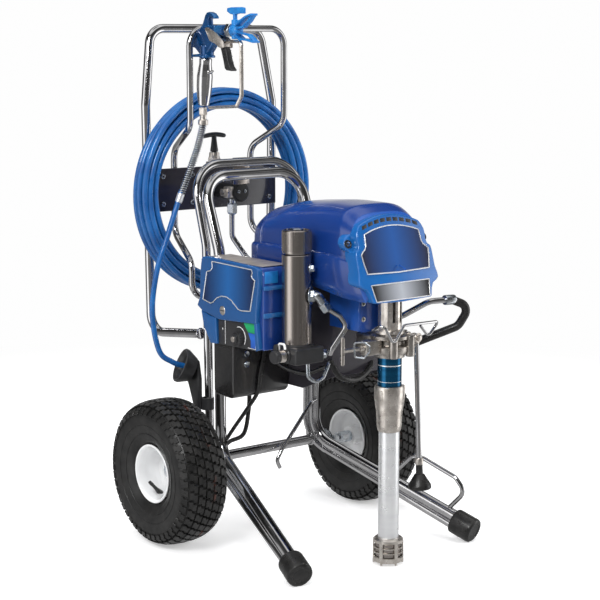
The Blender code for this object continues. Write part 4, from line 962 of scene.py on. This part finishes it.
def motor_cover():
    body = cover_body()
    piece(body, "cart", "blue_plastic", "motor_cover")

    arch = [(x, 0.6455 - 0.0155 * (x / 0.071) ** 2) for x in np.linspace(0, 0.071, 9)]
    bezel_half = arch + mm((76, 623.5), (80, 615), (80.8, 606), (80, 596), (82.5, 588.5),
        (88.5, 585), (90, 578), (90.5, 548), (93.5, 536), (94, 528), (88, 523), (79, 519),
        (73.5, 510), (69, 495), (0, 492.5))
    bezel = prism("bezel", side_pair(bezel_half), -0.03, 0.0035, FRAME_BLUE, "front", 0.0028, 4)
    ears = []
    for sign in (-1, 1):
        ear = [(sign * x, z) for x, z in mm((70, 618), (86, 612), (95, 606), (98.5, 598),
            (96, 590), (88, 583), (70, 578))]
        ears.append(prism("ear", ear, -0.034, -0.015, FRAME_BLUE, "front", 0.0026, 3))
    label_arch = [(x, 0.6262 - 0.012 * (x / 0.064) ** 2) for x in np.linspace(0, 0.064, 9)]
    label_half = label_arch + mm((65.2, 604), (65.8, 594.5), (69, 589), (74.5, 585), (79.5, 580),
        (77.5, 565), (73.5, 546.5), (0, 544.5))
    label = side_pair(label_half)
    panel = prism("panel", label, 0.003, 0.005, COVER_LABEL, "front")
    border = outline_bar("border", dense(label), 0.005, 0.0011, ALUMINIUM)
    plate = side_pair(mm((0, 526.5), (69, 526.5), (63.5, 497.5), (0, 497.5)))
    strip = prism("strip", plate, 0.003, 0.0042, NAMEPLATE, "front")
    strip_border = outline_bar("strip_border", dense(plate), 0.0042, 0.001, ALUMINIUM)
    # The vents are black slabs: painted shade in their openings.
    vents = []
    for k in range(9):
        x = -0.06 + 0.015 * k
        z = 0.6366 - 0.014 * (x / 0.071) ** 2
        slope = -0.028 * x / 0.071 ** 2
        half_width, half_height = 0.0059, 0.0034
        corners = [(x - half_width, z - half_height - slope * half_width), (x + half_width,
            z - half_height + slope * half_width), (x + half_width,
            z + half_height + slope * half_width), (x - half_width,
            z + half_height - slope * half_width)]
        vents.append(prism("vent", corners, 0.002, 0.0038, BLACK, "front", 0.0006))
    fronts = Vector((0, -1, 0.3)).normalized()
    screws = []
    for sign in (-1, 1):
        at = front_plane(0.0895 * sign, 0.5975, -0.0152)
        # A black cup round each screw: painted shade in its recess.
        screws.append(revolve("recess_with_painted_tone", mm((0, 0.2), (5.8, 0.2), (6.6, 1.2), (7.6, 1.4), (8, 0)),
            BLACK, at, fronts, 28))
        screws.append(socket_bolt(front_plane(0.0895 * sign, 0.5975, -0.015), fronts, 0.0042,
            0.0012, ZINC))
    piece(merged("cover_front", bezel, panel, border, strip, strip_border, *vents, *ears, *screws),
        "cart", "blue_plastic")


# ------------------------------------------------------- control box and filter

def control_box():
    x = -0.176
    side = mm((-14.5, 546), (-14.5, 442), (-56, 395), (-211, 395), (-211, 533), (-200, 546))
    housing = prism("housing", side, x + 0.004, -0.1052, SHELL, "X", 0.0035, 3)
    top = prism("top_plate", mm((-19, 546.2), (-196, 546.2), (-199, 548), (-19, 548)), x + 0.012,
        -0.1056, TAUPE, "X", 0.0006)
    face = mm((-31, 550), (-48, 553), (-64, 552), (-196, 548), (-206, 543), (-208, 520),
        (-206, 506), (-200, 464), (-199, 444), (-86, 437), (-30, 447), (-13, 456), (-22, 472),
        (-24, 518), (-27, 538))
    front = prism("frame", face, x - 0.0052, x + 0.006, BOX_BLUE, "X", 0.0026, 4)
    label = mm((-65, 545), (-188, 542.5), (-190, 537), (-187, 531), (-190, 527), (-197.5, 523.5),
        (-183, 466), (-156, 463.5), (-146, 465), (-137, 471), (-125, 479), (-110, 483.5),
        (-94, 483), (-79, 477.5), (-68, 469), (-60, 465.5), (-35, 470), (-48, 524), (-60, 527),
        (-66, 533))
    panel = prism("panel", label, x - 0.006, x - 0.005, BOX_LABEL, "X")
    border = tube("border", [(x - 0.006, y, z) for y, z in dense(label)], 0.001, ALUMINIUM, 8,
        closed=True)
    legs = [prism("leg", outline, x - 0.004, x + 0.006, BOX_BLUE, "X", 0.0018,
        3) for outline in (mm((-25, 448), (-56, 440), (-72, 440), (-76, 390), (-54, 389),
        (-33, 418)), mm((-190, 446), (-199, 446), (-206, 398), (-196, 393)))]
    shelf = prism("shelf", mm((-76, 442), (-196, 446), (-196, 393), (-76, 390)), x - 0.0006,
        x + 0.006, BLACK, "X", 0.0012)
    green = prism("green_scale", mm((-156, 441.5), (-193, 442.5), (-193, 425), (-170, 425),
        (-164, 431)), x - 0.0012, x - 0.0004, DECAL_GREEN, "X")
    blue = prism("blue_scale", mm((-170, 424), (-193, 424), (-193, 397), (-178, 397), (-178, 410)),
        x - 0.0012, x - 0.0004, DECAL_BLUE, "X")
    dial = tube("dial_line", [(x - 0.0012, -0.143 - 0.019 * cos(radians(a)),
        0.412 + 0.019 * sin(radians(a))) for a in range(-35, 110, 8)], 0.0008, WHITE, 6)
    edge = tube("decal_line", [(x - 0.0012, -0.1935, 0.4405), (x - 0.0012, -0.1935, 0.396),
        (x - 0.0012, -0.17, 0.396)], 0.0008, WHITE, 6)
    seam = tube("seam", [(x - 0.001, -0.099, 0.44), (x - 0.001, -0.099, 0.3935)], 0.0007,
        ALUMINIUM, 6)
    screw = revolve("screw", mm((0, 1), (7.2, 1), (8.2, 0.4), (8.6, 0)), NICKEL,
        (x - 0.0052, -0.096, 0.456), (-1, 0, 0), 28)
    # A black block in the screw's slot: painted shade.
    slot = block("screw_slot", (x - 0.0068, -0.102, 0.4552), (x - 0.0056, -0.09, 0.4568), BLACK,
        0.0002)
    # A thin light blue plate on the box's side: a painted reflection on its recessed panel.
    recess_with_painted_tone = block("recess_with_painted_tone", (-0.17, -0.2122, 0.518), (-0.14, -0.21, 0.54), LIGHT_BLUE, 0.0012)
    ledge = block("ledge", (-0.174, -0.216, 0.506), (-0.11, -0.21, 0.514), BOX_BLUE, 0.0018)
    lower = block("lower_ledge", (-0.174, -0.215, 0.455), (-0.11, -0.21, 0.464), BOX_BLUE, 0.0018)
    piece(merged("control_housing", housing, top, front, panel, border, shelf, green, blue, dial,
        edge, seam, screw, slot, recess_with_painted_tone, ledge, lower, *legs), "cart", "blue_plastic",
        "control_box")

    flutes = []
    knob_at = Vector((0, -0.143, 0.4095))
    for k in range(18):
        a = 2 * pi * k / 18
        centre = knob_at + Vector((0, 0.0128 * cos(a), 0.0128 * sin(a)))
        flutes.append(tube("flute", [centre + Vector((-0.186, 0, 0)),
            centre + Vector((-0.1775, 0, 0))], 0.0011, BLACK, 6))
    knob = revolve("knob", mm((0, 192.5), (6, 192.5), (8.8, 190.5), (9.8, 187), (12.8, 186.2),
        (13.2, 185), (13.2, 176.8), (0, 176.6)), BLACK, knob_at, (-1, 0, 0), 40)
    cap = revolve("knob_cap", mm((0, 193.4), (5, 193.2), (5.6, 192.2)), NICKEL, knob_at,
        (-1, 0, 0), 28)
    piece(merged("pressure_dial", knob, cap, *flutes), "knob", "black_plastic", "pressure_knob")

    y, z = -0.093, 0.415
    rocker = mm((-169, -9.5), (-177.5, -10), (-175, 0), (-179.5, 10), (-169, 9.5))
    lever = prism("rocker", [(a, b + z) for a, b in rocker], y - 0.0058, y + 0.0058, BLACK, "Y",
        0.0008)
    mark = block("rocker_mark", (-0.1793, y - 0.0006, z + 0.0045), (-0.177, y + 0.0006, z + 0.008),
        WHITE, 0.0001)
    piece(merged("switch_rocker", lever, mark), "switch", "black_plastic", "power_switch")


def terminal_box():
    shape = mm((-50, 393.6), (-50, 296), (-56, 289), (-106, 288), (-115, 296), (-115, 393.6))
    profile = []
    for a in np.linspace(180, 90, 9):
        profile.append((-0.15 + 0.02 * cos(radians(a)), -0.095 + 0.02 * sin(radians(a)) * 2.2))
    box = prism("box", shape, -0.17, -0.039, SATIN, "X", 0.012, 6)
    screws = [merged("plug", revolve("ring", mm((0, 1.4), (3.4, 1.4), (5, 2.2), (5.8, 1.2),
        (5.8, 0)), ZINC, (xx, -0.115, zz), (0, -1, 0), 24)) for xx,
        zz in ((-0.14, 0.372), (-0.14, 0.352))]
    seam = tube("seam", mm((-170.2, -60, 382), (-170.2, -105, 382)), 0.0006, BLACK, 6)
    piece(merged("terminal_housing", box, seam, *screws), "cart", "black_plastic", "terminal_box")
    corners = mm((-100, -70, 290), (-101, -68, 250), (-100, -50, 200), (-94, 6, 172),
        (-90, 44, 140), (-90, 48, 104))
    outer = mm((-96, -113, 396), (-103.3, -120, 365), (-112, -120, 330), (-115, -115, 295),
        (-115, -80, 255), (-108, -35, 215), (-100, 6, 179))
    cord = merged("cords", tube("cord", spline(corners, 40), 0.0042, RUBBER, 14), tube("lead",
        spline(outer, 40), 0.0038, RUBBER, 12))
    plug = revolve("plug", mm((0, 106), (6.5, 106), (8, 100), (13, 90), (15.2, 86), (15.2, 69),
        (14, 68), (0, 68)), RUBBER, (-0.09, 0.048, 0), steps=36, soft=0.0008)
    relief = [revolve("relief", mm((4.2, 1.5), (6.2, 1.2), (6.2, -1.2), (4.2, -1.5)), RUBBER,
        (-0.09, 0.048, 0.112 + 0.004 * k), steps=24) for k in range(4)]
    piece(merged("mains_cord", cord, plug, *relief), "cart", "black_rubber", "power_cord")


FILTER = (-0.124, -0.246)


def fluid_filter():
    fx, fy = FILTER
    bowl = revolve("bowl", mm((22.2, 570), (26.2, 572.5), (27, 571.5), (27, 409), (26.2, 407.8),
        (22.2, 407.8)), STEEL, (fx, fy, 0), steps=72)
    out = Vector((0.55, -0.84, 0)).normalized()
    at = Vector((fx, fy, 0.548)) + out * 0.0262
    plug = hex_bolt(at, out, 0.0064, 0.007, ZINC)
    piece(merged("filter_body", bowl, plug), "cart", "steel", "filter_bowl")
    cap = revolve("cap", mm((0, 612), (21.5, 612), (22.2, 617), (25.2, 617), (26.8, 615),
        (26.8, 577), (25.8, 574.5), (23.5, 574), (0, 574)), STEEL, (fx, fy, 0), steps=72)
    ribs = []
    for k in range(56):
        a = 2 * pi * k / 56
        p = Vector((fx + 0.0267 * cos(a), fy + 0.0267 * sin(a), 0))
        ribs.append(tube("rib", [p + Vector((0, 0, 0.579)), p + Vector((0, 0, 0.614))], 0.0005,
            STEEL, 5))
    bar = revolve("cap_head", mm((5.6, 611), (5.6, 619.5), (12, 619.5), (12.8, 618.5),
        (12.8, 611.5)), ZINC, (fx, fy, 0), steps=6, smooth=20, start=0.4)
    piece(merged("filter_top", cap, bar, *ribs), "cart", "steel", "filter_cap")

    manifold = prism("manifold_block", mm((-156, -285), (-90, -285), (-90, -215), (-156, -215)),
        0.3765, 0.407, BLACK, "Z", 0.0045, 3)
    boss = revolve("boss", mm((0, 160), (12, 160), (14, 158), (14, 150)), BLACK,
        (0, -0.255, 0.392), (-1, 0, 0), 36)
    seat = revolve("seat", mm((27.5, 410.5), (30.5, 409), (31.5, 405), (31.5, 385), (29, 379),
        (0, 377)), BLACK, (fx, fy, 0), steps=48)
    stub = revolve("stub", mm((4.5, 12), (8.5, 12), (9.5, 10), (9.5, 0)), ZINC,
        (-0.091, -0.272, 0.39), (1, 0, 0), 6, smooth=20)
    low = filleted(mm((-112, -262, 380), (-112, -264, 348), (-98, -270, 338), (-80, -268, 344),
        (-60, -262, 370)), 0.012, 5)
    loop = tube("drain_loop", low, 0.0038, ZINC, 14)
    piece(merged("filter_manifold", manifold, boss, seat, stub, loop), "cart", "black_plastic",
        "manifold")

    valve = merged("valve", revolve("drum", mm((0, 160.6), (10, 160.6), (11.6, 162), (11.6, 175),
        (0, 175.2)), NICKEL, (0, -0.255, 0.392), (-1, 0, 0), 36), revolve("cap", mm((0, 174.5),
        (12.2, 174.5), (12.4, 176), (12.4, 183), (10.8, 185.6), (0, 186.6)), BLACK,
        (0, -0.255, 0.392), (-1, 0, 0), 36))
    wing = prism("wing", [(-0.255 - 0.004, 0.386), (-0.255 + 0.004, 0.386),
        (-0.255 + 0.0055, 0.413), (-0.255, 0.4155), (-0.255 - 0.0055, 0.413)], -0.181, -0.1755,
        BLACK, "X", 0.002, 3)
    clip = tube("clip", filleted(mm((-166.5, -248, 403), (-166.5, -248, 414), (-166.5, -264, 415),
        (-166.5, -266, 406)), 0.004, 4), 0.0022, WHITE, 10)
    piece(merged("prime_handle", valve, wing, clip), "prime", "nickel", "prime_valve")

    start = Vector((fx, fy, 0.498)) + out * 0.0268
    nut = hex_bolt(start, out, 0.0112, 0.0085, ZINC)
    bend = start + out * 0.013
    fall = bend + Vector((0.0118, -0.0065, -0.0195))
    elbow = tube("elbow", spline([start + out * 0.004, bend, bend.lerp(fall, 0.5), fall], 14),
        0.0084, ZINC, 20)
    flare = revolve("flare", mm((0, 17), (9, 17), (10.8, 15), (10.8, 1), (9.2, 0)), ZINC,
        fall - (fall - bend).normalized() * 0.008, fall - bend, 6, smooth=20)
    run = filleted([fall, (-0.068, -0.3, 0.462), (-0.056, -0.306, 0.442), (-0.078, -0.29, 0.4),
        (-0.078, -0.284, 0.39)], 0.014, 6)
    piece(merged("filter_outlet", nut, elbow, flare, tube("run", run, 0.0054, CHROME, 16)), "cart",
        "chrome", "outlet_pipe")


# ----------------------------------------------------------------------- pump

PUMP_Y = -0.36


def pump():
    centre = (0, PUMP_Y, 0)
    # The clamp ring, ear, wing, tail, lugs and bolts here, and the T-screw below, use the darker
    # nickel copy: painted shade.
    ring = revolve("clamp", mm((22.3, 429.5), (33, 429.5), (35.5, 428), (35.8, 422.5), (32, 419.5),
        (26.2, 418.5), (26.2, 412), (32, 410.5), (35.2, 408), (35.2, 399), (32.5, 395),
        (28, 393.5), (26.8, 388), (22.3, 388), (22.3, 429.5)), SHADED_NICKEL, centre, steps=64,
        smooth=35)
    ear = prism("ear", mm((-64, -370), (-56, -373.5), (-30, -374), (-30, -348), (-56, -348.5),
        (-64, -352)), 0.3965, 0.4235, SHADED_NICKEL, "Z", 0.003, 3)
    wing = prism("wing", mm((30, -372), (44, -370), (44, -350), (30, -348)), 0.4, 0.429,
        SHADED_NICKEL, "Z", 0.0025, 3)
    tail = block("tail", (-0.022, -0.335, 0.392), (0.022, -0.29, 0.426), SHADED_NICKEL, 0.004, 3)
    lugs = [prism("lug", arc(x, PUMP_Y - 0.03, 0.0085, 0, 345, 18), 0.39, 0.428, SHADED_NICKEL, "Z",
        0.0018) for x in (-0.018, 0.022)]
    bolts = [hex_bolt((x, y, 0.429), (0, 0, 1), 0.0042, 0.0035, SHADED_NICKEL, False) for x,
        y in ((-0.026, -0.382), (0.028, -0.379), (0.037, -0.36))]
    piece(merged("clamp_casting", ring, ear, wing, tail, *lugs, *bolts), "cart", "nickel",
        "pump_clamp")

    px, pz = -0.361, 0.41
    shank = revolve("shank", mm((0, 47.6), (4, 47.6), (4, 64.6), (6.4, 65), (6.6, 71.5),
        (3.8, 72.5), (3.6, 114), (0, 114.5)), SHADED_NICKEL, (0, px, pz), (-1, 0, 0), 24)
    bar = tube("bar", [(-0.112, px, pz - 0.0255), (-0.112, px, pz - 0.024),
        (-0.112, px, pz + 0.024), (-0.112, px, pz + 0.0255)], [0.0026, 0.0037, 0.0037, 0.0026],
        SHADED_NICKEL, 20)
    piece(merged("t_screw_handle", shank, bar), "t_screw", "chrome", "clamp_screw")
    wire = mm((-62, -376, 416), (-76, -378, 425), (-100, -378, 427), (-98, -378, 401),
        (-76, -377, 396), (-62, -376, 406), (-62, -376, 416))
    piece(tube("keeper_wire", filleted(wire, 0.004, 5), 0.0017, ZINC, 10), "cart", "nickel")

    latch = [(-0.0275, PUMP_Y, 0.44), (-0.044, PUMP_Y, 0.44), (-0.05, -0.39, 0.453),
        (-0.044, -0.398, 0.449), (-0.027, -0.4, 0.417), (-0.001, -0.399, 0.45),
        (0.082, -0.396, 0.448), (0.088, -0.388, 0.44), (0.07, -0.386, 0.42),
        (0.052, -0.384, 0.442)]
    piece(tube("latch_wire", filleted(latch, 0.0075, 6), 0.0026, CHROME, 14), "latch", "chrome",
        "pump_latch")

    barrel = revolve("barrel", mm((6.6, 429.2), (20.5, 429.2), (22, 427.5), (22, 335.3),
        (15, 335.2), (15, 423), (6.6, 423), (6.6, 429.2)), CYLINDER_BLUE, centre, steps=64)
    ring_line = revolve("silver_line", mm((21.9, 374.2), (22.2, 374.2), (22.2, 372.5),
        (21.9, 372.5)), ALUMINIUM, centre, steps=64)
    ring_low = revolve("silver_line", mm((21.9, 344), (22.2, 344), (22.2, 343.2), (21.9, 343.2)),
        ALUMINIUM, centre, steps=64)
    piece(merged("cylinder_barrel", barrel, ring_line, ring_low), "cart", "blue_enamel",
        "pump_cylinder")

    body = revolve("intake", mm((22.5, 335), (26.2, 334.5), (27.5, 330), (27.5, 308), (26.2, 305),
        (26.2, 299), (24, 286), (22.8, 262), (21.5, 253), (20, 250), (10, 250), (10, 260),
        (14.8, 268), (14.8, 333), (22.5, 335)), NICKEL, centre, steps=56, smooth=40)
    lug = prism("lug", mm((22, 290), (30, 294), (33, 308), (34.5, 330), (31, 333), (22, 332)),
        -0.367, -0.353, NICKEL, "Y", 0.0025, 3)
    flats = block("flat", (-0.0275, -0.37, 0.309), (-0.0255, -0.35, 0.329), NICKEL, 0.0006)
    piece(merged("intake_casting", body, lug, flats), "cart", "nickel", "intake_housing")

    suction = revolve("suction", mm((16.5, 249.7), (19, 249.7), (19, 30), (16.5, 30),
        (16.5, 249.7)), ALUMINIUM, centre, steps=64)
    piece(merged("suction_pipe", suction), "cart", "aluminium", "suction_tube")
    strainer()
    drain()


def strainer():
    """Plated cup with windows, ribs and small feet."""
    centre = (0, PUMP_Y, 0)
    rim = revolve("rim", mm((19.3, 50.5), (24, 50.5), (27.5, 47.5), (28, 42.5), (26.2, 41),
        (23, 41.5), (19.3, 44)), NICKEL, centre, steps=56)
    foot = revolve("foot", mm((26.2, 16), (28, 15), (28, 8), (26.5, 6), (0, 6.2)), NICKEL, centre,
        steps=56)
    mesh = revolve("mesh", mm((24, 42), (24, 15)), STEEL, centre, steps=56)
    bars = []
    for k in range(6):
        a = 2 * pi * (k + 0.35) / 6
        wide = 0.12
        outline = [(0.0281 * cos(a + t),
            PUMP_Y + 0.0281 * sin(a + t)) for t in np.linspace(-wide, wide, 5)]
        outline += [(0.0258 * cos(a + t),
            PUMP_Y + 0.0258 * sin(a + t)) for t in np.linspace(wide, -wide, 5)]
        bars.append(prism("bar", outline, 0.008, 0.043, NICKEL, "Z"))
        tip = Vector((0.0262 * cos(a), PUMP_Y + 0.0262 * sin(a), 0.0))
        bars.append(revolve("peg", mm((0, 2), (2, 2.2), (2.4, 8)), NICKEL, tip, steps=12))
    for height in (0.024, 0.033):
        bars.append(revolve("hoop", [(0.0245, height + 0.0008), (0.0274, height + 0.0008),
            (0.0274, height - 0.0008), (0.0245, height - 0.0008)], NICKEL, centre, steps=56))
    piece(merged("strainer_cup", rim, foot, mesh, *bars), "cart", "nickel", "strainer")


def drain():
    foot = Vector((0.0775, PUMP_Y, 0.129))
    top = Vector((0.066, PUMP_Y + 0.002, 0.415))
    up = top - foot
    length = up.length
    pipe = revolve("pipe", [(0, length), (0.005, length), (0.005, 0.056), (0, 0.056)], CHROME,
        foot, up, 24)
    nut = revolve("nut", mm((4.5, 58), (7.2, 57.5), (8, 56), (8, 47), (6.4, 45)), NICKEL, foot, up,
        24)
    bell = revolve("bell", mm((5, 46), (6.4, 45.5), (6.6, 28), (9.5, 26.2), (20.6, 8), (21.6, 5.8),
        (21.6, 1.2), (20.6, 0), (18.5, 0.8), (6, 24)), RUBBER, foot, up, 40)
    piece(merged("drain_line", pipe, nut, bell), "cart", "chrome", "drain_tube")
    elbow = tube("elbow", filleted([(0.043, PUMP_Y, 0.414), (0.0655, PUMP_Y + 0.002, 0.42),
        (0.0662, PUMP_Y + 0.002, 0.404)], 0.006, 5), 0.0062, NICKEL, 16)
    knob = hex_bolt((0.0655, PUMP_Y - 0.004, 0.415), (0, -1, 0), 0.006, 0.004, NICKEL)
    piece(merged("drain_elbow", elbow, knob), "cart", "nickel")


def pump_hose():
    corners = mm((47.6, -320, 449), (64, -320, 449), (100, -355, 478), (150, -362, 477),
        (186, -374, 462), (170, -360, 425), (110, -306, 392), (60, -268, 380), (50, -260, 378))
    path = filleted(corners, 0.024, 8)
    split = min(range(len(path)), key=lambda i: (path[i] - Vector((0.128, -0.3585, 0.4775))).length)
    pipe = tube("pipe", path[:split + 1], 0.0056, CHROME, 18)
    hose = tube("hose", path[split:], 0.008, RUBBER, 20)
    heading = (path[split + 1] - path[split - 1]).normalized()
    ferrule = revolve("ferrule", mm((5.5, -11), (9, -11), (9.4, -9), (9.4, 9), (8.8, 11), (8, 11)),
        ZINC, path[split], heading, 32)
    last = (path[-1] - path[-2]).normalized()
    far = revolve("far_ferrule", mm((5.5, -10), (9.2, -10), (9.4, 8), (8, 9)), ZINC,
        path[-1] - last * 0.006, last, 32)
    nut = revolve("nut", mm((5, 0), (10, 0), (10.5, 1), (10.5, 9), (6, 10)), NICKEL,
        (0.0478, -0.32, 0.449), (1, 0, 0), 6, smooth=20)
    piece(merged("outlet_hose", pipe, hose, ferrule, far, nut), "cart", "black_rubber",
        "pump_hose")


def drive():
    """Plated slotted housing, blue casting with its bolts, and the dark channel."""
    neck = NODES["drive_housing"]
    repaint(neck, NICKEL)
    round_edges(neck, 0.0006)
    bolts = [socket_bolt((x, -0.3297, z), (0, -1, 0), 0.0048, 0.0034, ZINC) for x,
        z in ((-0.039, 0.484), (-0.039, 0.456), (0.039, 0.484), (0.039, 0.456))]
    collar = revolve("collar", mm((21.6, 439), (25, 438.5), (26.2, 436), (26.2, 431.2),
        (21.6, 430.5)), NICKEL, (0, PUMP_Y, 0), steps=56)
    flange = prism("flange", mm((-42, 432), (42, 432), (44, 436), (44, 492), (-44, 492),
        (-44, 436)), -0.3312, -0.3296, SHELL, "Y", 0.0004)
    piece(merged("drive_fittings", collar, flange, *bolts), "cart", "nickel")
    for name, mat in (("gear_housing", SHELL), ("drive_bracket", DARK), ("motor_case", STEEL),
            ("armature", WOUND), ("crank_gear", STEEL), ("piston_rod", CHROME),
            ("check_ball", STEEL), ("filter_element", WHITE)):
        repaint(NODES[name], mat)
        round_edges(NODES[name], 0.0005 if name != "drive_bracket" else 0.0012)


def repaint(node, mat):
    node.data.materials.clear()
    node.data.materials.append(mat)
    node.data.shade_smooth()
    node.data.set_sharp_from_angle(angle=radians(28))


def round_edges(node, width):
    rounding = node.modifiers.new("edges", "BEVEL")
    rounding.width = width
    rounding.segments = 2
    rounding.limit_method = "ANGLE"
    rounding.angle_limit = radians(35)
    rounding.harden_normals = False


def underside():
    """Wiring and hoses seen between the pump and the cart, under the cover."""
    bundle = [tube("wire", spline(points, 30), radius, RUBBER, 12) for points,
        radius in ((mm((-60, -262, 372), (-40, -270, 340), (10, -262, 330), (60, -240, 352),
        (70, -180, 372)), 0.0056), (mm((-86, -130, 380), (-90, -150, 352), (-70, -200, 340),
        (-50, -240, 356)), 0.004))]
    return bundle


# ----------------------------------------------------------------- studio

# What reflections see: brightness around the horizon (0 to 1 is one turn from -X), how that
# fades towards the zenith, and the light from above, both by the height of the direction
SIDE_LIGHTS = [(0.0, 1.6), (0.02, 0.9), (0.05, 0.04), (0.23, 0.02), (0.36, 0.05), (0.395, 1.7),
    (0.445, 1.7), (0.475, 0.08), (0.55, 0.06), (0.6, 0.45), (0.7, 0.45), (0.76, 0.05), (0.9, 0.04),
    (0.95, 1.4), (1.0, 1.6)]
SIDE_FADE = [(0.0, 1.0), (0.3, 0.9), (0.55, 0.0)]
TOP_LIGHTS = [(0.0, 0.16), (0.12, 0.03), (0.6, 0.03), (0.74, 0.08), (0.83, 0.7), (0.94, 0.8),
    (1.0, 0.2)]
FLOOR_GLOW = 0.42
BACKDROP = 0.99
SOFT_LEVEL = 0.4             # what matt surfaces see in every direction
# Name, place, height aimed at over the origin, width and depth, watts
LAMPS = [("key", (-2.6, -1.4, 2.6), 0.5, (1.2, 1.2), 74), ("front", (0.6, -3.2, 1.9), 0.45,
    (1.6, 1.0), 38), ("top", (0.1, 0.0, 3.1), 0.4, (2.6, 2.6), 64), ("right_strip",
    (2.4, -0.9, 1.2), 0.5, (0.35, 2.0), 26), ("back_left", (-1.2, 2.2, 1.8), 0.5, (0.8, 1.6), 26)]
CAMERA_AT = Vector((-1.95, -2.551, 0.96))
CAMERA_TURN = radians(-38.5)  # from straight in front, to the left
CAMERA_PITCH = radians(9.1)   # downwards
LENS_MM, SENSOR_MM = 99.0, 36.0


def add_node(tree, kind, *inputs, **settings):
    """A node with settings, whose inputs are in turn linked, set, or left alone (None)."""
    made = tree.nodes.new(kind)
    for key, value in settings.items():
        setattr(made, key, value)
    for socket, value in zip(made.inputs, inputs):
        if isinstance(value, bpy.types.NodeSocket):
            tree.links.new(value, socket)
        elif value is not None:
            socket.default_value = value
    return made


def studio_floor():
    """Pale floor that fades into the backdrop, and lets far reflections see the lights."""
    shader = Shader("studio floor", (0.8, 0.8, 0.805), 0.6)
    shader.vary_colour(2.0, (0.79, 0.79, 0.795), (0.81, 0.81, 0.815))
    shader.set("Specular IOR Level", 0.15)
    tree = shader.tree

    def make(kind, *inputs, **settings):
        return add_node(tree, kind, *inputs, **settings).outputs[0]

    def far(start, end):
        return make("ShaderNodeMapRange", distance, start, end, interpolation_type="SMOOTHSTEP")

    ray = add_node(tree, "ShaderNodeLightPath").outputs
    glow = make("ShaderNodeEmission", None, FLOOR_GLOW)
    lit = make("ShaderNodeAddShader", shader.bsdf.outputs[0], glow)
    backdrop = make("ShaderNodeEmission", None, BACKDROP)
    length = add_node(tree, "ShaderNodeVectorMath", shader.coords, operation="LENGTH")
    distance = length.outputs["Value"]
    seen = make("ShaderNodeMixShader", far(0.9, 2.0), lit, backdrop)
    seen = make("ShaderNodeMixShader", ray["Is Camera Ray"], shader.bsdf.outputs[0], seen)
    clear = make("ShaderNodeBsdfTransparent")
    mirrored_floor = make("ShaderNodeMixShader", far(0.5, 1.3), glow, clear)
    final = make("ShaderNodeMixShader", ray["Is Glossy Ray"], seen, mirrored_floor)
    tree.links.new(final, tree.nodes["Material Output"].inputs["Surface"])
    sides = (-9.0, -3.0, 0.0, 3.0, 9.0)
    floor = from_grid("studio_floor", [[(x, y, -0.0004) for x in sides] for y in sides],
        shader.mat)
    floor.location += ORIGIN


def studio_lamps():
    """Soft rectangular lights; only the key light shows in reflections."""
    for name, at, height, (width, depth), power in LAMPS:
        light = bpy.data.lights.new(name, "AREA")
        light.shape = "RECTANGLE"
        light.size, light.size_y = width, depth
        light.energy = power
        holder = bpy.data.objects.new(name, light)
        holder.location = Vector(at) + ORIGIN
        facing = Vector((0, 0, height)) - Vector(at)
        holder.rotation_euler = facing.to_track_quat("-Z", "Y").to_euler()
        holder.visible_glossy = name == "key"
        SCENE.collection.objects.link(holder)


def studio_world():
    """White to the camera, even for soft light, and banded for reflections."""
    world = bpy.data.worlds.new("studio")
    SCENE.world = world
    world.use_nodes = True
    tree = world.node_tree

    def make(kind, *inputs, **settings):
        return add_node(tree, kind, *inputs, **settings).outputs[0]

    def ramp(source, stops):
        made = add_node(tree, "ShaderNodeValToRGB", source)
        elements = made.color_ramp.elements
        while len(elements) < len(stops):
            elements.new(0.5)
        for element, (position, level) in zip(elements, stops):
            element.position = position
            element.color = (level, level, level * 1.02, 1)
        return made.outputs["Color"]

    coords = add_node(tree, "ShaderNodeTexCoord").outputs["Generated"]
    ray = add_node(tree, "ShaderNodeLightPath").outputs
    x, y, z = add_node(tree, "ShaderNodeSeparateXYZ", coords).outputs
    turn = make("ShaderNodeMath", y, x, operation="ARCTAN2")
    share = make("ShaderNodeMath", turn, 1 / (2 * pi), 0.5, operation="MULTIPLY_ADD")
    around, low, top = ramp(share, SIDE_LIGHTS), ramp(z, SIDE_FADE), ramp(z, TOP_LIGHTS)
    mirrored_room = make("ShaderNodeMath", around, low, top, operation="MULTIPLY_ADD")
    room = make("ShaderNodeMix", ray["Is Glossy Ray"], None, SOFT_LEVEL, mirrored_room)
    shown = make("ShaderNodeMix", ray["Is Camera Ray"], None, room, BACKDROP)
    tree.links.new(shown, tree.nodes["Background"].inputs["Color"])


def camera():
    """The photograph's view."""
    data = bpy.data.cameras.new("camera")
    data.lens, data.sensor_width = LENS_MM, SENSOR_MM
    data.clip_start, data.clip_end = 0.05, 50
    cam = bpy.data.objects.new("camera", data)
    cam.location = CAMERA_AT + ORIGIN
    level = cos(CAMERA_PITCH)
    back = Vector((sin(CAMERA_TURN) * level, -cos(CAMERA_TURN) * level, sin(CAMERA_PITCH)))
    cam.rotation_mode = "QUATERNION"
    cam.rotation_quaternion = (-back).to_track_quat("-Z", "Y")
    SCENE.collection.objects.link(cam)
    SCENE.camera = cam
    SCENE.view_settings.view_transform = "Standard"


# ------------------------------------------------------------------- assembly

cart()
foot_caps()
wheels()
reel()
hose_coil()
reel_hub()
hose_guide()
gun()
gun_tip()
gun_hose()
motor_cover()
control_box()
terminal_box()
fluid_filter()
pump()
pump_hose()
drive()
piece(merged("loose_wiring", *underside()), "cart", "black_rubber")
studio_floor()
studio_lamps()
studio_world()
camera()
